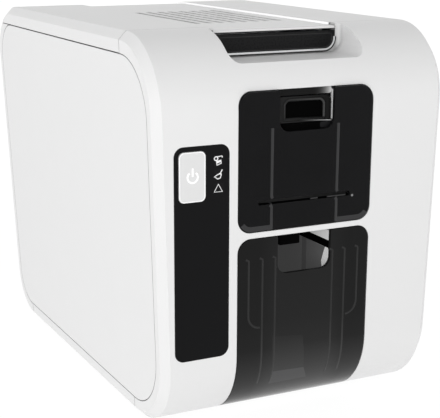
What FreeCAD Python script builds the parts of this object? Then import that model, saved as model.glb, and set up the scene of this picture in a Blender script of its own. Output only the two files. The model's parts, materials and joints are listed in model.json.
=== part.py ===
import FreeCAD, Part
import math
import operator
import os
import Sketcher

# A desktop card printer. Origin at the middle of its footprint on the desk, +X to the right as seen from
# the front, +Y towards the back, +Z up. All lengths are in millimetres.

SIZES = {
    # how close two edges have to be to count as one
    "near": 0.000001,
    # casing
    "body_wide": 217.6,
    "body_deep": 330,
    "body_high": 264,
    "side_lean_share": 0.0268,
    "rear_lean_share": 0.0586,
    "front_top_round": 50,
    "front_low_round": 51,
    "rear_top_round": 40,
    "rear_low_round": 38,
    "edge_leg": 5.5,
    "side_face_lean_deg": 10,
    "wall": 3,
    "seam": 0.5,
    "cut_over": 20,
    "lid_front": 52,
    "lid_side_high": 14,
    "rear_split": 50,
    # side panels
    "panel_margin": 11,
    "panel_low_margin": 12.5,
    "panel_skin": 2.5,
    "panel_rim": 10,
    "panel_lip": 2,
    "lip_thick": 1.6,
    "lip_play": 0.3,
    # feet
    "foot_high": 2.5,
    "foot_wide": 9,
    "foot_margin": 30.8,
    "foot_in_y": 105,
    # doors in the front
    "door_gap": 6,
    "door_play": 0.4,
    "door_thick": 3,
    "door_round": 9.5,
    "upper_door_below": 19.3,
    "upper_door_drop": 36,
    "lower_door_below": 23,
    "lower_door_end_deg": 29,
    "notch_wide": 40,
    "upper_notch_deep": 26.7,
    "lower_notch_deep": 26,
    "notch_round": 7,
    "hand_slot_left_in": 15,
    "hand_slot_right_in": 16,
    "hand_slot_high": 2.2,
    "door_pin_thick": 0.8,
    "door_pin_in": 3,
    "door_pin_out": 2.6,
    "pin_play": 0.05,
    "door_pivot_up": 10.3,
    # control label, button and lights
    "label_margin": 14.2,
    "label_wide": 38.6,
    "label_low": 56,
    "label_drop": 67.3,
    "label_round": 6.5,
    "label_thick": 0.8,
    "button_in": 3.4,
    "button_wide": 18.2,
    "button_high": 31.9,
    "button_round": 3.5,
    "button_proud": 0.6,
    "button_play": 0.4,
    "button_flange": 1.2,
    "button_flange_thick": 1.2,
    "button_travel": 1.2,
    "rest_gap": 0.3,
    "light_wide": 6.5,
    "light_drop": 7.15,
    "light_pitch": 8.7,
    "light_count": 3,
    "light_in": 28.05,
    "board_gap": 7,
    "board_thick": 1.6,
    "board_margin": 2,
    "switch_wide": 6,
    "board_post": 2.5,
    # scoop in front of the lid handle
    "scoop_wide": 100,
    "scoop_drop": 19.5,
    "scoop_deep": 45,
    "scoop_round": 8,
    "scoop_corner": 3,
    # lid
    "channel_wide": 92,
    "channel_deep": 1.5,
    "channel_lead": 0.5,
    "slot_count": 8,
    "slot_pitch": 9.1,
    "slot_wide": 4.2,
    "slot_front": 97,
    "slot_back": 206,
    "hinge_in": 8.8,
    "hinge_drop": 14.4,
    "knuckle_round": 4.2,
    "knuckle_play": 0.4,
    "knuckle_long": 14,
    "knuckle_mid": 70,
    "knuckle_side": 8,
    "hinge_pin_thick": 1.5,
    "frame_wide": 150,
    "frame_front": 70,
    "frame_back": 290,
    "frame_thick": 3,
    "frame_bar": 14,
    "frame_boss": 5,
    "boss_round": 6,
    # lid handle
    "bar_wide": 92.5,
    "bar_drop": 18,
    "bar_high": 13.2,
    "bar_thick": 3.6,
    "bar_play": 0.5,
    "bay_web": 1.5,
    "bar_cheek": 4,
    "arm_high": 6,
    "pivot_back": 12,
    "pivot_up": 8.5,
    "pivot_round": 3,
    "pivot_pin_thick": 1.1,
    "ear_wide": 3,
    "ear_play": 0.5,
    "trim_high": 1.2,
    "trim_proud": 0.8,
    "hook_thick": 3,
    "hook_deep": 5,
    "hook_back": 2,
    "hook_drop": 35,
    "hook_toe": 1.2,
    "catch_thick": 2.2,
    "catch_gap": 0.5,
    "catch_drop": 29,
    "catch_long": 10.8,
    # card and card path
    "card_wide": 54,
    "card_long": 85.6,
    "card_thick": 0.8,
    "card_play": 0.8,
    "path_drop": 108,
    "tray_wall": 2,
    "hopper_front": 5.5,
    "hopper_drop": 26,
    "hopper_corner_deep": 8,
    "hopper_corner_high": 12,
    "ledge_high": 4,
    "ledge_deep": 12,
    "floor_drop": 0.5,
    "feed_window": 11,
    "feed_long": 40,
    "feed_window_play": 1,
    "exit_gap": 1.6,
    "weight_thick": 6,
    "weight_play": 1.3,
    "weight_ear": 8,
    "rail_thick": 1.6,
    "rail_play": 1,
    "rail_back": 70,
    "bin_front": 8,
    "bin_low": 36,
    "bin_rear_below": 62,
    "bin_side_below": 28,
    # chassis
    "chassis_wide": 72,
    "chassis_thick": 2,
    "chassis_front": 53,
    "chassis_back": 281,
    "chassis_drop": 24,
    "chassis_flange": 12,
    "window_low": 20,
    "window_high": 45,
    "window_front": 115,
    "window_back": 240,
    "tie_thick": 3,
    "tie_low": 30,
    "tie_mid": 75,
    "tie_drop": 59,
    "tie_front": 108,
    "tie_back": 277,
    # rollers
    "roller_thick": 8,
    "roller_long": 58,
    "shaft_thick": 3,
    "bush_thick": 5,
    "bush_flange": 6,
    "bush_flange_long": 1,
    "shaft_over": 3,
    "feed_back": 60,
    "front_drive_back": 115,
    "platen_back": 153,
    "rear_drive_back": 179,
    "idler_thick": 5,
    "pulley_long": 5,
    "pulley_gap": 2.5,
    "belt_play": 0.3,
    "belt_thick": 1.5,
    "motor_back": 120,
    "motor_below": 56,
    "motor_thick": 17,
    "motor_margin": 26.3,
    "motor_plate_gap": 3,
    "motor_plate_up": 32,
    "motor_plate_down": 24,
    "motor_plate_half": 25,
    "motor_plate_thick": 2,
    "motor_shaft": 2,
    "motor_shaft_play": 0.3,
    "leg_high": 5,
    "leg_half": 5,
    # ribbon
    "supply_back": 203,
    "supply_up": 42,
    "supply_roll": 17,
    "takeup_back": 107,
    "takeup_up": 50,
    "takeup_core": 11,
    "spool_core": 7,
    "spool_shaft": 4,
    "ribbon_wide": 56,
    "ribbon_thick": 0.3,
    "ribbon_bend": 10.5,
    "ribbon_lift": 0.5,
    "spool_gap": 0.5,
    "gear_face": 5,
    "gear_radius": 20,
    "gear_teeth": 40,
    "pinion_radius": 6,
    "pinion_teeth": 12,
    "tooth_out": 0.8,
    "tooth_in": 1.1,
    "tooth_root": 1.5,
    "tooth_tip": 0.6,
    "mesh_play": 0.4,
    "ribbon_motor_thick": 9,
    "ribbon_motor_long": 20,
    "ribbon_shaft": 1.5,
    # print head
    "head_wide": 60,
    "head_deep": 15,
    "head_high": 9,
    "arm_thick": 3,
    "arm_play": 0.3,
    "arm_low": 3,
    "spring_round": 3.2,
    "spring_wire": 0.5,
    "spring_turns": 4,
    "spring_high": 6,
    "spring_place": 20,
    # tilting carriage
    "carriage_back": 232,
    "carriage_long": 84,
    "cheek_round": 24,
    "cheek_thick": 3,
    "cheek_gap": 1.5,
    "guide_thick": 1.5,
    "guide_gap": 2.4,
    "trunnion_thick": 5,
    "carriage_roller": 5,
    "carriage_axle": 2,
    "carriage_roller_in": 18,
    "carriage_window": 1,
    "tilt_slope_share": 0.404,
    "tilt_motor_thick": 14,
    "tilt_motor_long": 24,
    "ramp_thick": 1.2,
    "ramp_below": 3,
    "ramp_in": 1,
    # electronics
    "post_long": 8,
    "mainboard_front": 130,
    "mainboard_gap": 26,
    "mainboard_low": 26,
    "mainboard_below": 18,
    "standoff_thick": 3,
    "standoff_in": 8,
    "chip_high": 3,
    "capacitor_round": 6,
    "capacitor_high": 16,
    "jack_wide": 13,
    "jack_high": 12,
    "jack_bore": 2.8,
    "jack_bore_deep": 10,
    "jack_low": 48,
    "usb_wide": 12,
    "usb_high": 11,
    "usb_low": 70,
    "usb_port_wide": 6,
    "usb_port_high": 7,
    "usb_port_deep": 9,
    "socket_deep": 16,
    "socket_sunk": 1,
    "socket_play": 0.6,
    # rear fan
    "fan_wide": 40,
    "fan_deep": 10,
    "fan_margin": 18.8,
    "fan_drop": 114,
    "fan_bore": 18,
    "fan_hub": 8,
    "blade_count": 7,
    "blade_thick": 1.4,
    "blade_gap": 1.2,
    "blade_pitch_deg": 30,
    "blade_chord_share": 0.866,
    "fan_pin": 1.5,
    "fan_spoke": 3,
    "fan_spoke_deep": 1.5,
    "grille_count": 7,
    "grille_wide": 3,
    # fasteners
    "screw_round": 3,
    "screw_high": 1.6,
    "screw_proud": 0.2,
    "screw_margin": 20.8,
    "screw_low": 60,
    "screw_drop": 49,
}

doc = FreeCAD.newDocument("card_printer")
sheet = doc.addObject("Spreadsheet::Sheet", "dims")
for number, (word, value) in enumerate(SIZES.items(), start=1):
    sheet.set(f"A{number}", word)
    sheet.set(f"B{number}", str(value))
    sheet.setAlias(f"B{number}", word)
doc.recompute()


class Size(float):
    """A number from the sheet, or worked out from it, that keeps its formula for setExpression."""

    def __new__(cls, value, text):
        size = super().__new__(cls, value)
        size.text = text
        return size


def text_of(value):
    return value.text if isinstance(value, Size) else repr(float(value))


def add_operator(word, sign, action):
    def forward(one, other):
        return Size(action(float(one), float(other)), f"({text_of(one)} {sign} {text_of(other)})")

    def backward(one, other):
        return Size(action(float(other), float(one)), f"({text_of(other)} {sign} {text_of(one)})")

    setattr(Size, f"__{word}__", forward)
    setattr(Size, f"__r{word}__", backward)


add_operator("add", "+", operator.add)
add_operator("sub", "-", operator.sub)
add_operator("mul", "*", operator.mul)
add_operator("truediv", "/", operator.truediv)
Size.__neg__ = lambda size: Size(-float(size), f"(0 - {size.text})")


class Sheet:
    """The sheet's cells by name: d.wall is the wall's thickness."""

    def __getattr__(self, word):
        return Size(float(sheet.get(word)), f"dims.{word}")


d = Sheet()
nodes = {}

# Places that several pieces share
zero = Size(0, "0")
front = -d.body_deep / 2
back = d.body_deep / 2
floor = d.foot_high + d.wall

# Heights that hang from the body's top, and places that keep to its sides
half_body = d.body_wide / 2
path_high = d.body_high - d.path_drop
scoop_floor = d.body_high - d.scoop_drop
bar_low = d.body_high - d.bar_drop
hook_low = d.body_high - d.hook_drop
catch_high = d.body_high - d.catch_drop
hopper_top = d.body_high - d.hopper_drop
chassis_top = d.body_high - d.chassis_drop
fan_low = d.body_high - d.fan_drop
screw_top = d.body_high - d.screw_drop
tie_top = d.body_high - d.tie_drop
takeup_high = path_high + d.takeup_up
supply_high = path_high + d.supply_up
motor_high = path_high - d.motor_below
bin_side_top = path_high - d.bin_side_below
bin_rear_top = path_high - d.bin_rear_below
upper_door_low = path_high - d.upper_door_below
upper_door_top = d.body_high - d.upper_door_drop
lower_door_top = path_high - d.lower_door_below
label_left = half_body - d.label_margin
label_right = label_left - d.label_wide
label_top = d.body_high - d.label_drop
button_left = label_left - d.button_in
button_right = button_left - d.button_wide
button_top = label_top - d.button_in
button_low = button_top - d.button_high
light_top = label_top - d.light_drop
light_right = label_left - d.light_in
fan_left = half_body - d.fan_margin

# Places from front to back, and of the pieces inside
lid_seam_y = front + d.lid_front
lid_seam_z = d.body_high - d.lid_side_high
hinge_y = back - d.hinge_in
hinge_z = d.body_high - d.hinge_drop
rear_seam_y = back - d.rear_split
card_half = d.card_wide / 2 + d.card_play
tray_half = card_half + d.tray_wall
chassis_half = d.chassis_wide / 2
chassis_in = chassis_half - d.chassis_thick
roller_z = path_high - d.roller_thick
idler_z = path_high + d.card_thick + d.idler_thick
feed_y = front + d.feed_back
front_drive_y = front + d.front_drive_back
platen_y = front + d.platen_back
rear_drive_y = front + d.rear_drive_back
hopper_y = front + d.hopper_front
hopper_end_y = hopper_y + d.card_long + d.card_play
carriage_y = front + d.carriage_back
carriage_z = path_high + d.card_thick / 2
pulley_x = -chassis_half - d.pulley_gap - d.pulley_long
motor_y = front + d.motor_back
supply_y = front + d.supply_back
takeup_y = front + d.takeup_back
pinion_z = takeup_high - d.gear_radius - d.pinion_radius - d.mesh_play
bar_front_y = front + d.scoop_deep
bar_top = bar_low + d.bar_high
bar_half = d.bar_wide / 2
pivot_y = bar_front_y + d.pivot_back
pivot_z = bar_low + d.pivot_up
hook_y = bar_front_y + d.bar_thick
hook_front = hook_y + d.hook_back
catch_y = hook_front + d.hook_deep + d.hook_toe + d.catch_gap + d.catch_thick
door_half = label_right - d.door_gap
bin_y = front + d.bin_front
bin_end_y = bin_y + d.card_long + d.card_play
board_y = front + d.wall + d.board_gap
rail_y = hopper_y + d.rail_back
rail_x = (tray_half + chassis_in) / 2


def keep(label, obj):
    """Makes an object a piece of its own, under its own name."""
    obj.Label = label
    nodes[label] = obj
    return obj


def both(side, near, far):
    """A stretch along X on the right side, or its mirror image on the left."""
    return (near, far) if side > 0 else (-far, -near)


def around(middle, half):
    return (middle - half, middle + half)


# Building blocks bound to the sheet
def block(x, y, z):
    box = doc.addObject("Part::Box", "block")
    for side, axis, (low, high) in (("Length", "x", x), ("Width", "y", y), ("Height", "z", z)):
        box.setExpression(side, text_of(high - low))
        box.setExpression(f"Placement.Base.{axis}", text_of(low))
    return box


TURNS = {
    "x": FreeCAD.Rotation(FreeCAD.Vector(0, 1, 0), 90),
    "y": FreeCAD.Rotation(FreeCAD.Vector(1, 0, 0), -90),
    "z": FreeCAD.Rotation(),
}


def rod(axis, radius, span, centre):
    """A round bar along an axis; centre gives its other two coordinates in x, y, z order."""
    bar = doc.addObject("Part::Cylinder", "rod")
    bar.Placement = FreeCAD.Placement(FreeCAD.Vector(), TURNS[axis])
    bar.setExpression("Radius", text_of(radius))
    bar.setExpression("Height", text_of(span[1] - span[0]))
    places = dict(zip([other for other in "xyz" if other != axis], centre))
    places[axis] = span[0]
    for other, place in places.items():
        bar.setExpression(f"Placement.Base.{other}", text_of(place))
    return bar


def joined(pieces):
    if len(pieces) == 1:
        return pieces[0]
    group = doc.addObject("Part::MultiFuse", "joined")
    group.Shapes = pieces
    return group


def without(base, tools):
    cut = doc.addObject("Part::Cut", "cut")
    cut.Base = base
    cut.Tool = joined(tools)
    return cut


def apart(pieces):
    """Separate solids that share one name, such as screws."""
    group = doc.addObject("Part::Compound", "group")
    group.Links = pieces
    return group


PLANES = {"x": "YZ_Plane", "y": "XZ_Plane", "z": "XY_Plane"}


def draw(body, axis, offset, outline=(), circles=()):
    """A sketch on one of the body's own planes, every point and circle bound to the sheet."""
    sketch = body.newObject("Sketcher::SketchObject", "outline")
    plane = [item for item in body.Origin.OriginFeatures if item.Role == PLANES[axis]][0]
    sketch.AttachmentSupport = [(plane, "")]
    sketch.MapMode = "FlatFace"
    sketch.setExpression("AttachmentOffset.Base.z", text_of(offset))

    def fix(kind, geometry, point, size):
        where = (-1, 1, geometry, point) if kind != "Radius" else (geometry,)
        index = sketch.addConstraint(Sketcher.Constraint(kind, *where, float(size)))
        sketch.setExpression(f"Constraints[{index}]", text_of(size))

    corners = [FreeCAD.Vector(across, up, 0) for across, up in outline]
    for index, corner in enumerate(corners):
        sketch.addGeometry(Part.LineSegment(corner, corners[(index + 1) % len(corners)]))
    for index, (across, up) in enumerate(outline):
        sketch.addConstraint(Sketcher.Constraint("Coincident", index, 2, (index + 1) % len(corners), 1))
        fix("DistanceX", index, 1, across)
        fix("DistanceY", index, 1, up)
    for across, up, radius in circles:
        middle = FreeCAD.Vector(across, up, 0)
        ring = sketch.addGeometry(Part.Circle(middle, FreeCAD.Vector(0, 0, 1), float(radius)))
        fix("Radius", ring, 3, radius)
        fix("DistanceX", ring, 3, across)
        fix("DistanceY", ring, 3, up)
    return sketch


def profile(axis, span, outline=(), circles=(), body=None):
    """A PartDesign body, or one more pad of it: a drawn outline given a thickness along an axis."""
    body = body or doc.addObject("PartDesign::Body", "profile")
    low, high = span
    sketch = draw(body, axis, -high if axis == "y" else low, outline, circles)
    pad = body.newObject("PartDesign::Pad", "pad")
    pad.Profile = sketch
    pad.setExpression("Length", text_of(high - low))
    return body


def rectangle(across, up):
    return [(across[0], up[0]), (across[1], up[0]), (across[1], up[1]), (across[0], up[1])]


# Shapes that need Part's own functions
NEAR = float(d.near)


def space(x=None, y=None, z=None):
    """A box that is endless along each axis it isn't given."""
    far = float(d.body_deep)
    spans = [(float(span[0]), float(span[1])) if span else (-far, far) for span in (x, y, z)]
    corner = FreeCAD.Vector(*[low for low, high in spans])
    return Part.makeBox(*[high - low for low, high in spans], corner)


def bar(axis, radius, span, centre):
    """A round bar as a plain shape, for cuts in shapes of Part's own functions."""
    centre = list(centre)
    centre.insert("xyz".index(axis), span[0])
    along = FreeCAD.Vector(*[1 if axis == other else 0 for other in "xyz"])
    return Part.makeCylinder(float(radius), float(span[1] - span[0]), FreeCAD.Vector(*centre), along)


def runs_back(edge, level):
    """True for an edge that runs front to back at this height."""
    ends = [vertex.Point for vertex in edge.Vertexes]
    if len(ends) != 2 or abs(ends[0].x - ends[1].x) > NEAR:
        return False
    return all(abs(end.z - level) < NEAR for end in ends)


def rounded(x, z, y, low_round, top_round):
    """An upright slab with rounded lower and upper corners, as seen from the front."""
    slab = space(x, y, z)
    for radius, level in ((low_round, z[0]), (top_round, z[1])):
        if radius:
            slab = slab.makeFillet(float(radius), [edge for edge in slab.Edges if runs_back(edge, level)])
    return slab


def rear_line(height):
    """How far back the rear wall stands at a height."""
    return back + d.rear_lean_share * (height - d.body_high + d.rear_top_round)


def side_outline(front_in, top_in, rear_in, low_in, x):
    """The body seen from the side, drawn smaller by four insets: flat runs joined by round corners."""
    lean = math.atan(d.rear_lean_share)
    slant = 1 / math.cos(lean)
    rounds = (d.front_top_round - front_in, d.rear_top_round - rear_in,
              d.rear_low_round - rear_in, d.front_low_round - front_in)
    upper = d.body_high - top_in
    lower = d.foot_high + low_in

    def rear_centre(radius, height):
        plane = rear_line(height) + d.rear_top_round * (slant - 1)
        return plane - (rear_in + radius) * slant

    turn = math.degrees(lean)
    corners = (
        (front + front_in + rounds[0], upper - rounds[0], rounds[0], 180, 90),
        (rear_centre(rounds[1], upper - rounds[1]), upper - rounds[1], rounds[1], 90, -turn),
        (rear_centre(rounds[2], lower + rounds[2]), lower + rounds[2], rounds[2], -turn, -90),
        (front + front_in + rounds[3], lower + rounds[3], rounds[3], -90, -180),
    )

    def point(y, z, radius, degrees):
        angle = math.radians(degrees)
        return FreeCAD.Vector(x, y + radius * math.cos(angle), z + radius * math.sin(angle))

    arcs = []
    for y, z, radius, start, end in corners:
        arcs.append([point(y, z, radius, degrees) for degrees in (start, (start + end) / 2, end)])
    edges = []
    for index, arc in enumerate(arcs):
        edges.append(Part.Arc(*arc).toShape())
        edges.append(Part.makeLine(arc[2], arcs[(index + 1) % len(arcs)][0]))
    return Part.Face(Part.Wire(edges))


def side_prism(front_in, top_in, rear_in, low_in):
    """The same outline carried right across the body."""
    reach = float(d.body_wide)
    return side_outline(front_in, top_in, rear_in, low_in, -reach).extrude(FreeCAD.Vector(2 * reach, 0, 0))


def half_width(height):
    return d.body_wide / 2 - d.side_lean_share * (d.body_high - height)


def leaning(inner, outer):
    """A solid between two widths that lean with the sides; inner and outer are insets from the skin."""
    low, high = -d.cut_over, d.body_high + d.cut_over
    corners = [(half_width(low) - inner, low), (half_width(low) - outer, low),
               (half_width(high) - outer, high), (half_width(high) - inner, high)]
    reach = float(d.body_deep)
    points = [FreeCAD.Vector(x, -reach, z) for x, z in corners + corners[:1]]
    return Part.Face(Part.makePolygon(points)).extrude(FreeCAD.Vector(0, 2 * reach, 0))


def envelope(inset):
    """The closed body, drawn smaller all round: rounded side view, leaning sides, edges cut off flat."""
    prism = side_prism(inset, inset, inset, inset)
    side = leaning(d.body_wide / 2, inset)
    solid = prism.common(side.fuse(side.mirror(FreeCAD.Vector(), FreeCAD.Vector(1, 0, 0))))
    solid = solid.removeSplitter()
    upright = math.cos(math.radians(d.side_face_lean_deg))
    sides = [face for face in solid.Faces if abs(face.normalAt(0, 0).x) > upright]
    edges = [edge for face in sides for edge in face.Edges]
    return solid.makeChamfer(float(d.edge_leg), edges)


def made(label, shape):
    obj = doc.addObject("Part::Feature", label)
    obj.Shape = shape
    return keep(label, obj)


outer = envelope(0)
shell = outer.cut(envelope(d.wall))
gap = d.seam / 2
panel_hole = side_prism(d.panel_margin, d.lid_side_high, d.panel_margin, d.panel_low_margin)
top_reach = d.body_high + d.cut_over
fore = (front - d.cut_over, front + d.wall + d.cut_over)

# Doors in the front: where they turn, and the shapes of their openings
upper_pivot = (front + d.door_thick / 2, upper_door_low + d.door_pivot_up)
low_centre = (front + d.front_low_round, d.foot_high + d.front_low_round)


def on_low_curve(radius, degrees):
    """A point round the body's lower front corner; 0 degrees is straight down."""
    angle = math.radians(degrees)
    return (low_centre[0] - radius * math.sin(angle), low_centre[1] - radius * math.cos(angle))


lower_pivot = on_low_curve(d.front_low_round - d.door_thick / 2, d.lower_door_end_deg)


def lower_wedge(half, top, end_play):
    """What lies in front of and above a line from the corner's centre to the lower door's end."""
    turn = math.degrees(end_play / d.front_low_round)
    end = on_low_curve(2 * d.front_low_round, d.lower_door_end_deg - turn)
    points = [low_centre, end, (front - d.cut_over, end[1]), (front - d.cut_over, top),
              (low_centre[0], top)]
    corners = [FreeCAD.Vector(-half, y, z) for y, z in points + points[:1]]
    wedge = Part.Face(Part.makePolygon(corners)).extrude(FreeCAD.Vector(2 * half, 0, 0))
    return wedge.common(rounded((-half, half), (-d.cut_over, top), (front - d.cut_over, 0), 0, d.door_round))


def pin_holes(pivot, radius, reach):
    return [bar("x", radius, both(side, door_half - d.door_play - d.door_pin_in, door_half + reach), pivot)
            for side in (-1, 1)]


button_x = (-button_left, -button_right)
button_z = (button_low, button_top)
label_x = (-label_left, -label_right)
light_x = (-light_right, d.light_wide - light_right)


def light_spans():
    for index in range(int(d.light_count)):
        top = light_top - d.light_pitch * index
        yield light_x, (top - d.light_wide, top)


def grown(span, size):
    return (span[0] - size, span[1] + size)


def board_posts():
    inside = d.board_margin + 2 * d.board_post
    for x in (label_x[0] + inside, label_x[1] - inside):
        for z in (d.label_low + inside, button_low - inside):
            yield x, z


# Front fascia: doorways, label recess, scoop, and the posts of its board
def scoop_void():
    half = d.scoop_wide / 2
    span = (front - d.cut_over, bar_front_y)
    void = space((-half, half), span, (scoop_floor, top_reach))
    edges = []
    for edge in void.Edges:
        ends = [vertex.Point for vertex in edge.Vertexes]
        stands = abs(ends[0].x - ends[1].x) < NEAR and abs(ends[0].y - ends[1].y) < NEAR
        if stands and abs(ends[0].y - bar_front_y) < NEAR:
            edges.append(edge)
    trough = rounded((-half, half), (scoop_floor, top_reach), span, d.scoop_round, 0)
    return void.makeFillet(float(d.scoop_corner), edges).common(trough)


def bar_bay():
    """Room for the handle bar: it follows the bar's round corners in front, and leaves way for the hooks behind."""
    wide = grown((-bar_half, bar_half), d.bar_play)
    web_back = bar_front_y + d.bay_web
    mouth = rounded(wide, (bar_low - d.bar_play, top_reach), (bar_front_y - d.bar_play, web_back),
                    d.scoop_round + d.bar_play, 0)
    return [mouth, space(wide, (web_back, lid_seam_y), (hook_low - d.cut_over, top_reach))]


def front_fascia():
    fascia_y = (front - d.cut_over, lid_seam_y - gap)
    half = d.scoop_wide / 2 + d.wall
    tray = outer.common(space((-half, half), fascia_y, (scoop_floor - d.wall, top_reach)))
    posts = [bar("y", d.board_post, (front + d.wall, board_y), (x, z)) for x, z in board_posts()]
    solid = shell.common(space(y=fascia_y)).cut(panel_hole).fuse([tray] + posts)
    cuts = [
        scoop_void(),
        *bar_bay(),
        rounded((-door_half, door_half), (upper_door_low, upper_door_top), fore,
                d.door_round, d.door_round),
        lower_wedge(door_half, lower_door_top, d.door_thick / 2 + d.door_play),
        rounded(label_x, (d.label_low, label_top), (fore[0], front + d.label_thick),
                d.label_round, d.label_round),
        rounded(grown(button_x, d.button_play), grown(button_z, d.button_play), fore,
                d.button_round, d.button_round),
    ]
    cuts += [space(x, fore, z) for x, z in light_spans()]
    for pivot in (upper_pivot, lower_pivot):
        cuts += pin_holes(pivot, d.door_pin_thick + d.pin_play, d.door_pin_out + d.door_play)
    return solid.cut(cuts)


# Doors
def notch(top, deep):
    half = d.notch_wide / 2
    return rounded((-half, half), (top - deep, top + d.cut_over), fore, d.notch_round, 0)


def with_studs(door, pivot):
    """Adds the two studs that a door turns on."""
    return door.fuse(pin_holes(pivot, d.door_pin_thick, d.door_pin_out)).removeSplitter()


def upper_door():
    half = door_half - d.door_play
    span = (upper_door_low + d.door_play, upper_door_top - d.door_play)
    door = rounded((-half, half), span, (front, front + d.door_thick), d.door_round, d.door_round)
    slot_z = (path_high - d.hand_slot_high / 2, path_high + d.hand_slot_high / 2)
    slot = space((d.hand_slot_left_in - door_half, door_half - d.hand_slot_right_in), fore, slot_z)
    return with_studs(door.cut([notch(span[1], d.upper_notch_deep), slot]), upper_pivot)


def lower_door():
    skin = outer.cut(envelope(d.door_thick))
    top = lower_door_top - d.door_play
    half = door_half - d.door_play
    door = skin.common(lower_wedge(half, top, 0))
    edge = bar("x", d.door_thick / 2, (-half, half), lower_pivot)
    door = door.fuse(edge).cut(notch(top, d.lower_notch_deep))
    return with_studs(door, lower_pivot)


# Lid, with its channel, vents and hinge knuckles
def knuckles(side, lid):
    """Spans along X of the lid's knuckle, or of the two on the rear cover."""
    mid = d.knuckle_mid
    half = d.knuckle_long / 2
    if lid:
        return [both(side, mid - half, mid + half)]
    near = half + d.knuckle_play
    return [both(side, mid + near, mid + near + d.knuckle_side),
            both(side, mid - near - d.knuckle_side, mid - near)]


def knuckle_shapes(lid, radius, play):
    return [bar("x", radius, grown(span, play), (hinge_y, hinge_z))
            for side in (-1, 1) for span in knuckles(side, lid)]


def knuckle_bays(lid, z):
    """Room in one half of the hinge for the knuckles of the other."""
    deep = d.knuckle_round + d.knuckle_play
    return [space(grown(span, d.knuckle_play), (hinge_y - deep, back + d.cut_over), z)
            for side in (-1, 1) for span in knuckles(side, lid)]


def lid():
    half = d.channel_wide / 2
    lid_y = (lid_seam_y + gap, back + d.cut_over)
    lid_z = (lid_seam_z + gap, top_reach)
    sunk = envelope(d.channel_deep)
    channel_y = (bar_front_y - d.channel_lead, back + d.cut_over)
    channel = space((-half, half), channel_y, lid_z)
    skin = shell.common(space(y=lid_y, z=lid_z)).cut(outer.cut(sunk).common(channel))
    lead_y = (channel_y[0], lid_y[0] + d.wall)
    lead = sunk.cut(envelope(d.wall)).common(space((-half, half), lead_y, lid_z))
    under = d.body_high - d.wall
    ears = [space(ear_span(side), grown((pivot_y, pivot_y), d.pivot_round),
                  (pivot_z - d.pivot_round, under)) for side in (-1, 1)]
    bosses = [bar("z", d.boss_round / 2, (frame_z[1], under), (x, y)) for x, y in frame_bosses()]
    solid = skin.fuse([lead] + ears + bosses + knuckle_shapes(True, d.knuckle_round, 0))
    cuts = knuckle_bays(False, (lid_z[0] - d.cut_over, hinge_z + d.knuckle_round + d.knuckle_play))
    cuts += knuckle_shapes(True, d.hinge_pin_thick + d.pin_play, d.knuckle_play)
    cuts += [bar("x", d.pivot_pin_thick + d.pin_play, ear_span(side), (pivot_y, pivot_z)) for side in (-1, 1)]
    first = -d.slot_pitch * (d.slot_count - 1) / 2
    slot_y = (front + d.slot_front, front + d.slot_back)
    for index in range(int(d.slot_count)):
        middle = first + d.slot_pitch * index
        reach = d.slot_wide / 2
        slot_z = (under - d.cut_over, top_reach)
        cuts.append(space(around(middle, reach), slot_y, slot_z))
        cuts += [bar("z", reach, slot_z, (middle, y)) for y in slot_y]
    return solid.cut(cuts)


def ear_span(side):
    far = bar_half - d.bar_cheek - d.ear_play
    return both(side, far - d.ear_wide, far)


frame_z = (d.body_high - d.wall - d.frame_boss - d.frame_thick, d.body_high - d.wall - d.frame_boss)
frame_half = d.frame_wide / 2
frame_y = (front + d.frame_front, front + d.frame_back - d.rear_top_round)


def frame_bosses():
    inset = d.frame_bar / 2
    for x in (-frame_half + inset, frame_half - inset):
        for y in (frame_y[0] + inset, frame_y[1] - inset):
            yield x, y


# Rear cover and base
def grille_spans():
    pitch = 2 * d.fan_bore / d.grille_count
    middle = d.fan_wide / 2 - fan_left
    for index in range(int(d.grille_count)):
        x = middle + pitch * (index - (d.grille_count - 1) / 2)
        yield around(x, d.grille_wide / 2)


fan_middle_z = fan_low + d.fan_wide / 2
fan_middle_x = d.fan_wide / 2 - fan_left
board_x = (chassis_half + d.post_long, chassis_half + d.post_long + d.board_thick)
jack_x = (board_x[1], board_x[1] + d.jack_wide)
jack_z = (d.jack_low, d.jack_low + d.jack_high)
usb_x = (board_x[1], board_x[1] + d.usb_wide)
usb_z = (d.usb_low, d.usb_low + d.usb_high)
socket_back = rear_line(d.jack_low) - d.socket_sunk


def screw_places():
    for x in (d.screw_margin - half_body, half_body - d.screw_margin):
        for z in (d.screw_low, screw_top):
            yield x, z


def screw_span(height):
    return (rear_line(height) - d.screw_high, rear_line(height) + d.screw_proud)


def rear_cover():
    solid = shell.common(space(y=(rear_seam_y + gap, back + d.cut_over), z=(-d.cut_over, lid_seam_z - gap)))
    solid = solid.cut(panel_hole).fuse(knuckle_shapes(False, d.knuckle_round, 0))
    aft = (rear_line(0) - d.cut_over, back + d.cut_over)
    cuts = knuckle_bays(True, (hinge_z - d.knuckle_round - d.knuckle_play, top_reach))
    cuts += knuckle_shapes(False, d.hinge_pin_thick, d.knuckle_play)
    cuts += [space(grown(x, d.socket_play), aft, grown(z, d.socket_play))
             for x, z in ((jack_x, jack_z), (usb_x, usb_z))]
    cuts += [space(x, aft, around(fan_middle_z, d.fan_bore - d.grille_wide)) for x in grille_spans()]
    cuts += [bar("y", d.screw_round, (screw_span(z)[0], back), (x, z)) for x, z in screw_places()]
    return solid.cut(cuts)


def base_pan():
    solid = shell.common(space(y=(lid_seam_y + gap, rear_seam_y - gap), z=(0, lid_seam_z / 2)))
    return solid.cut(panel_hole)


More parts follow.
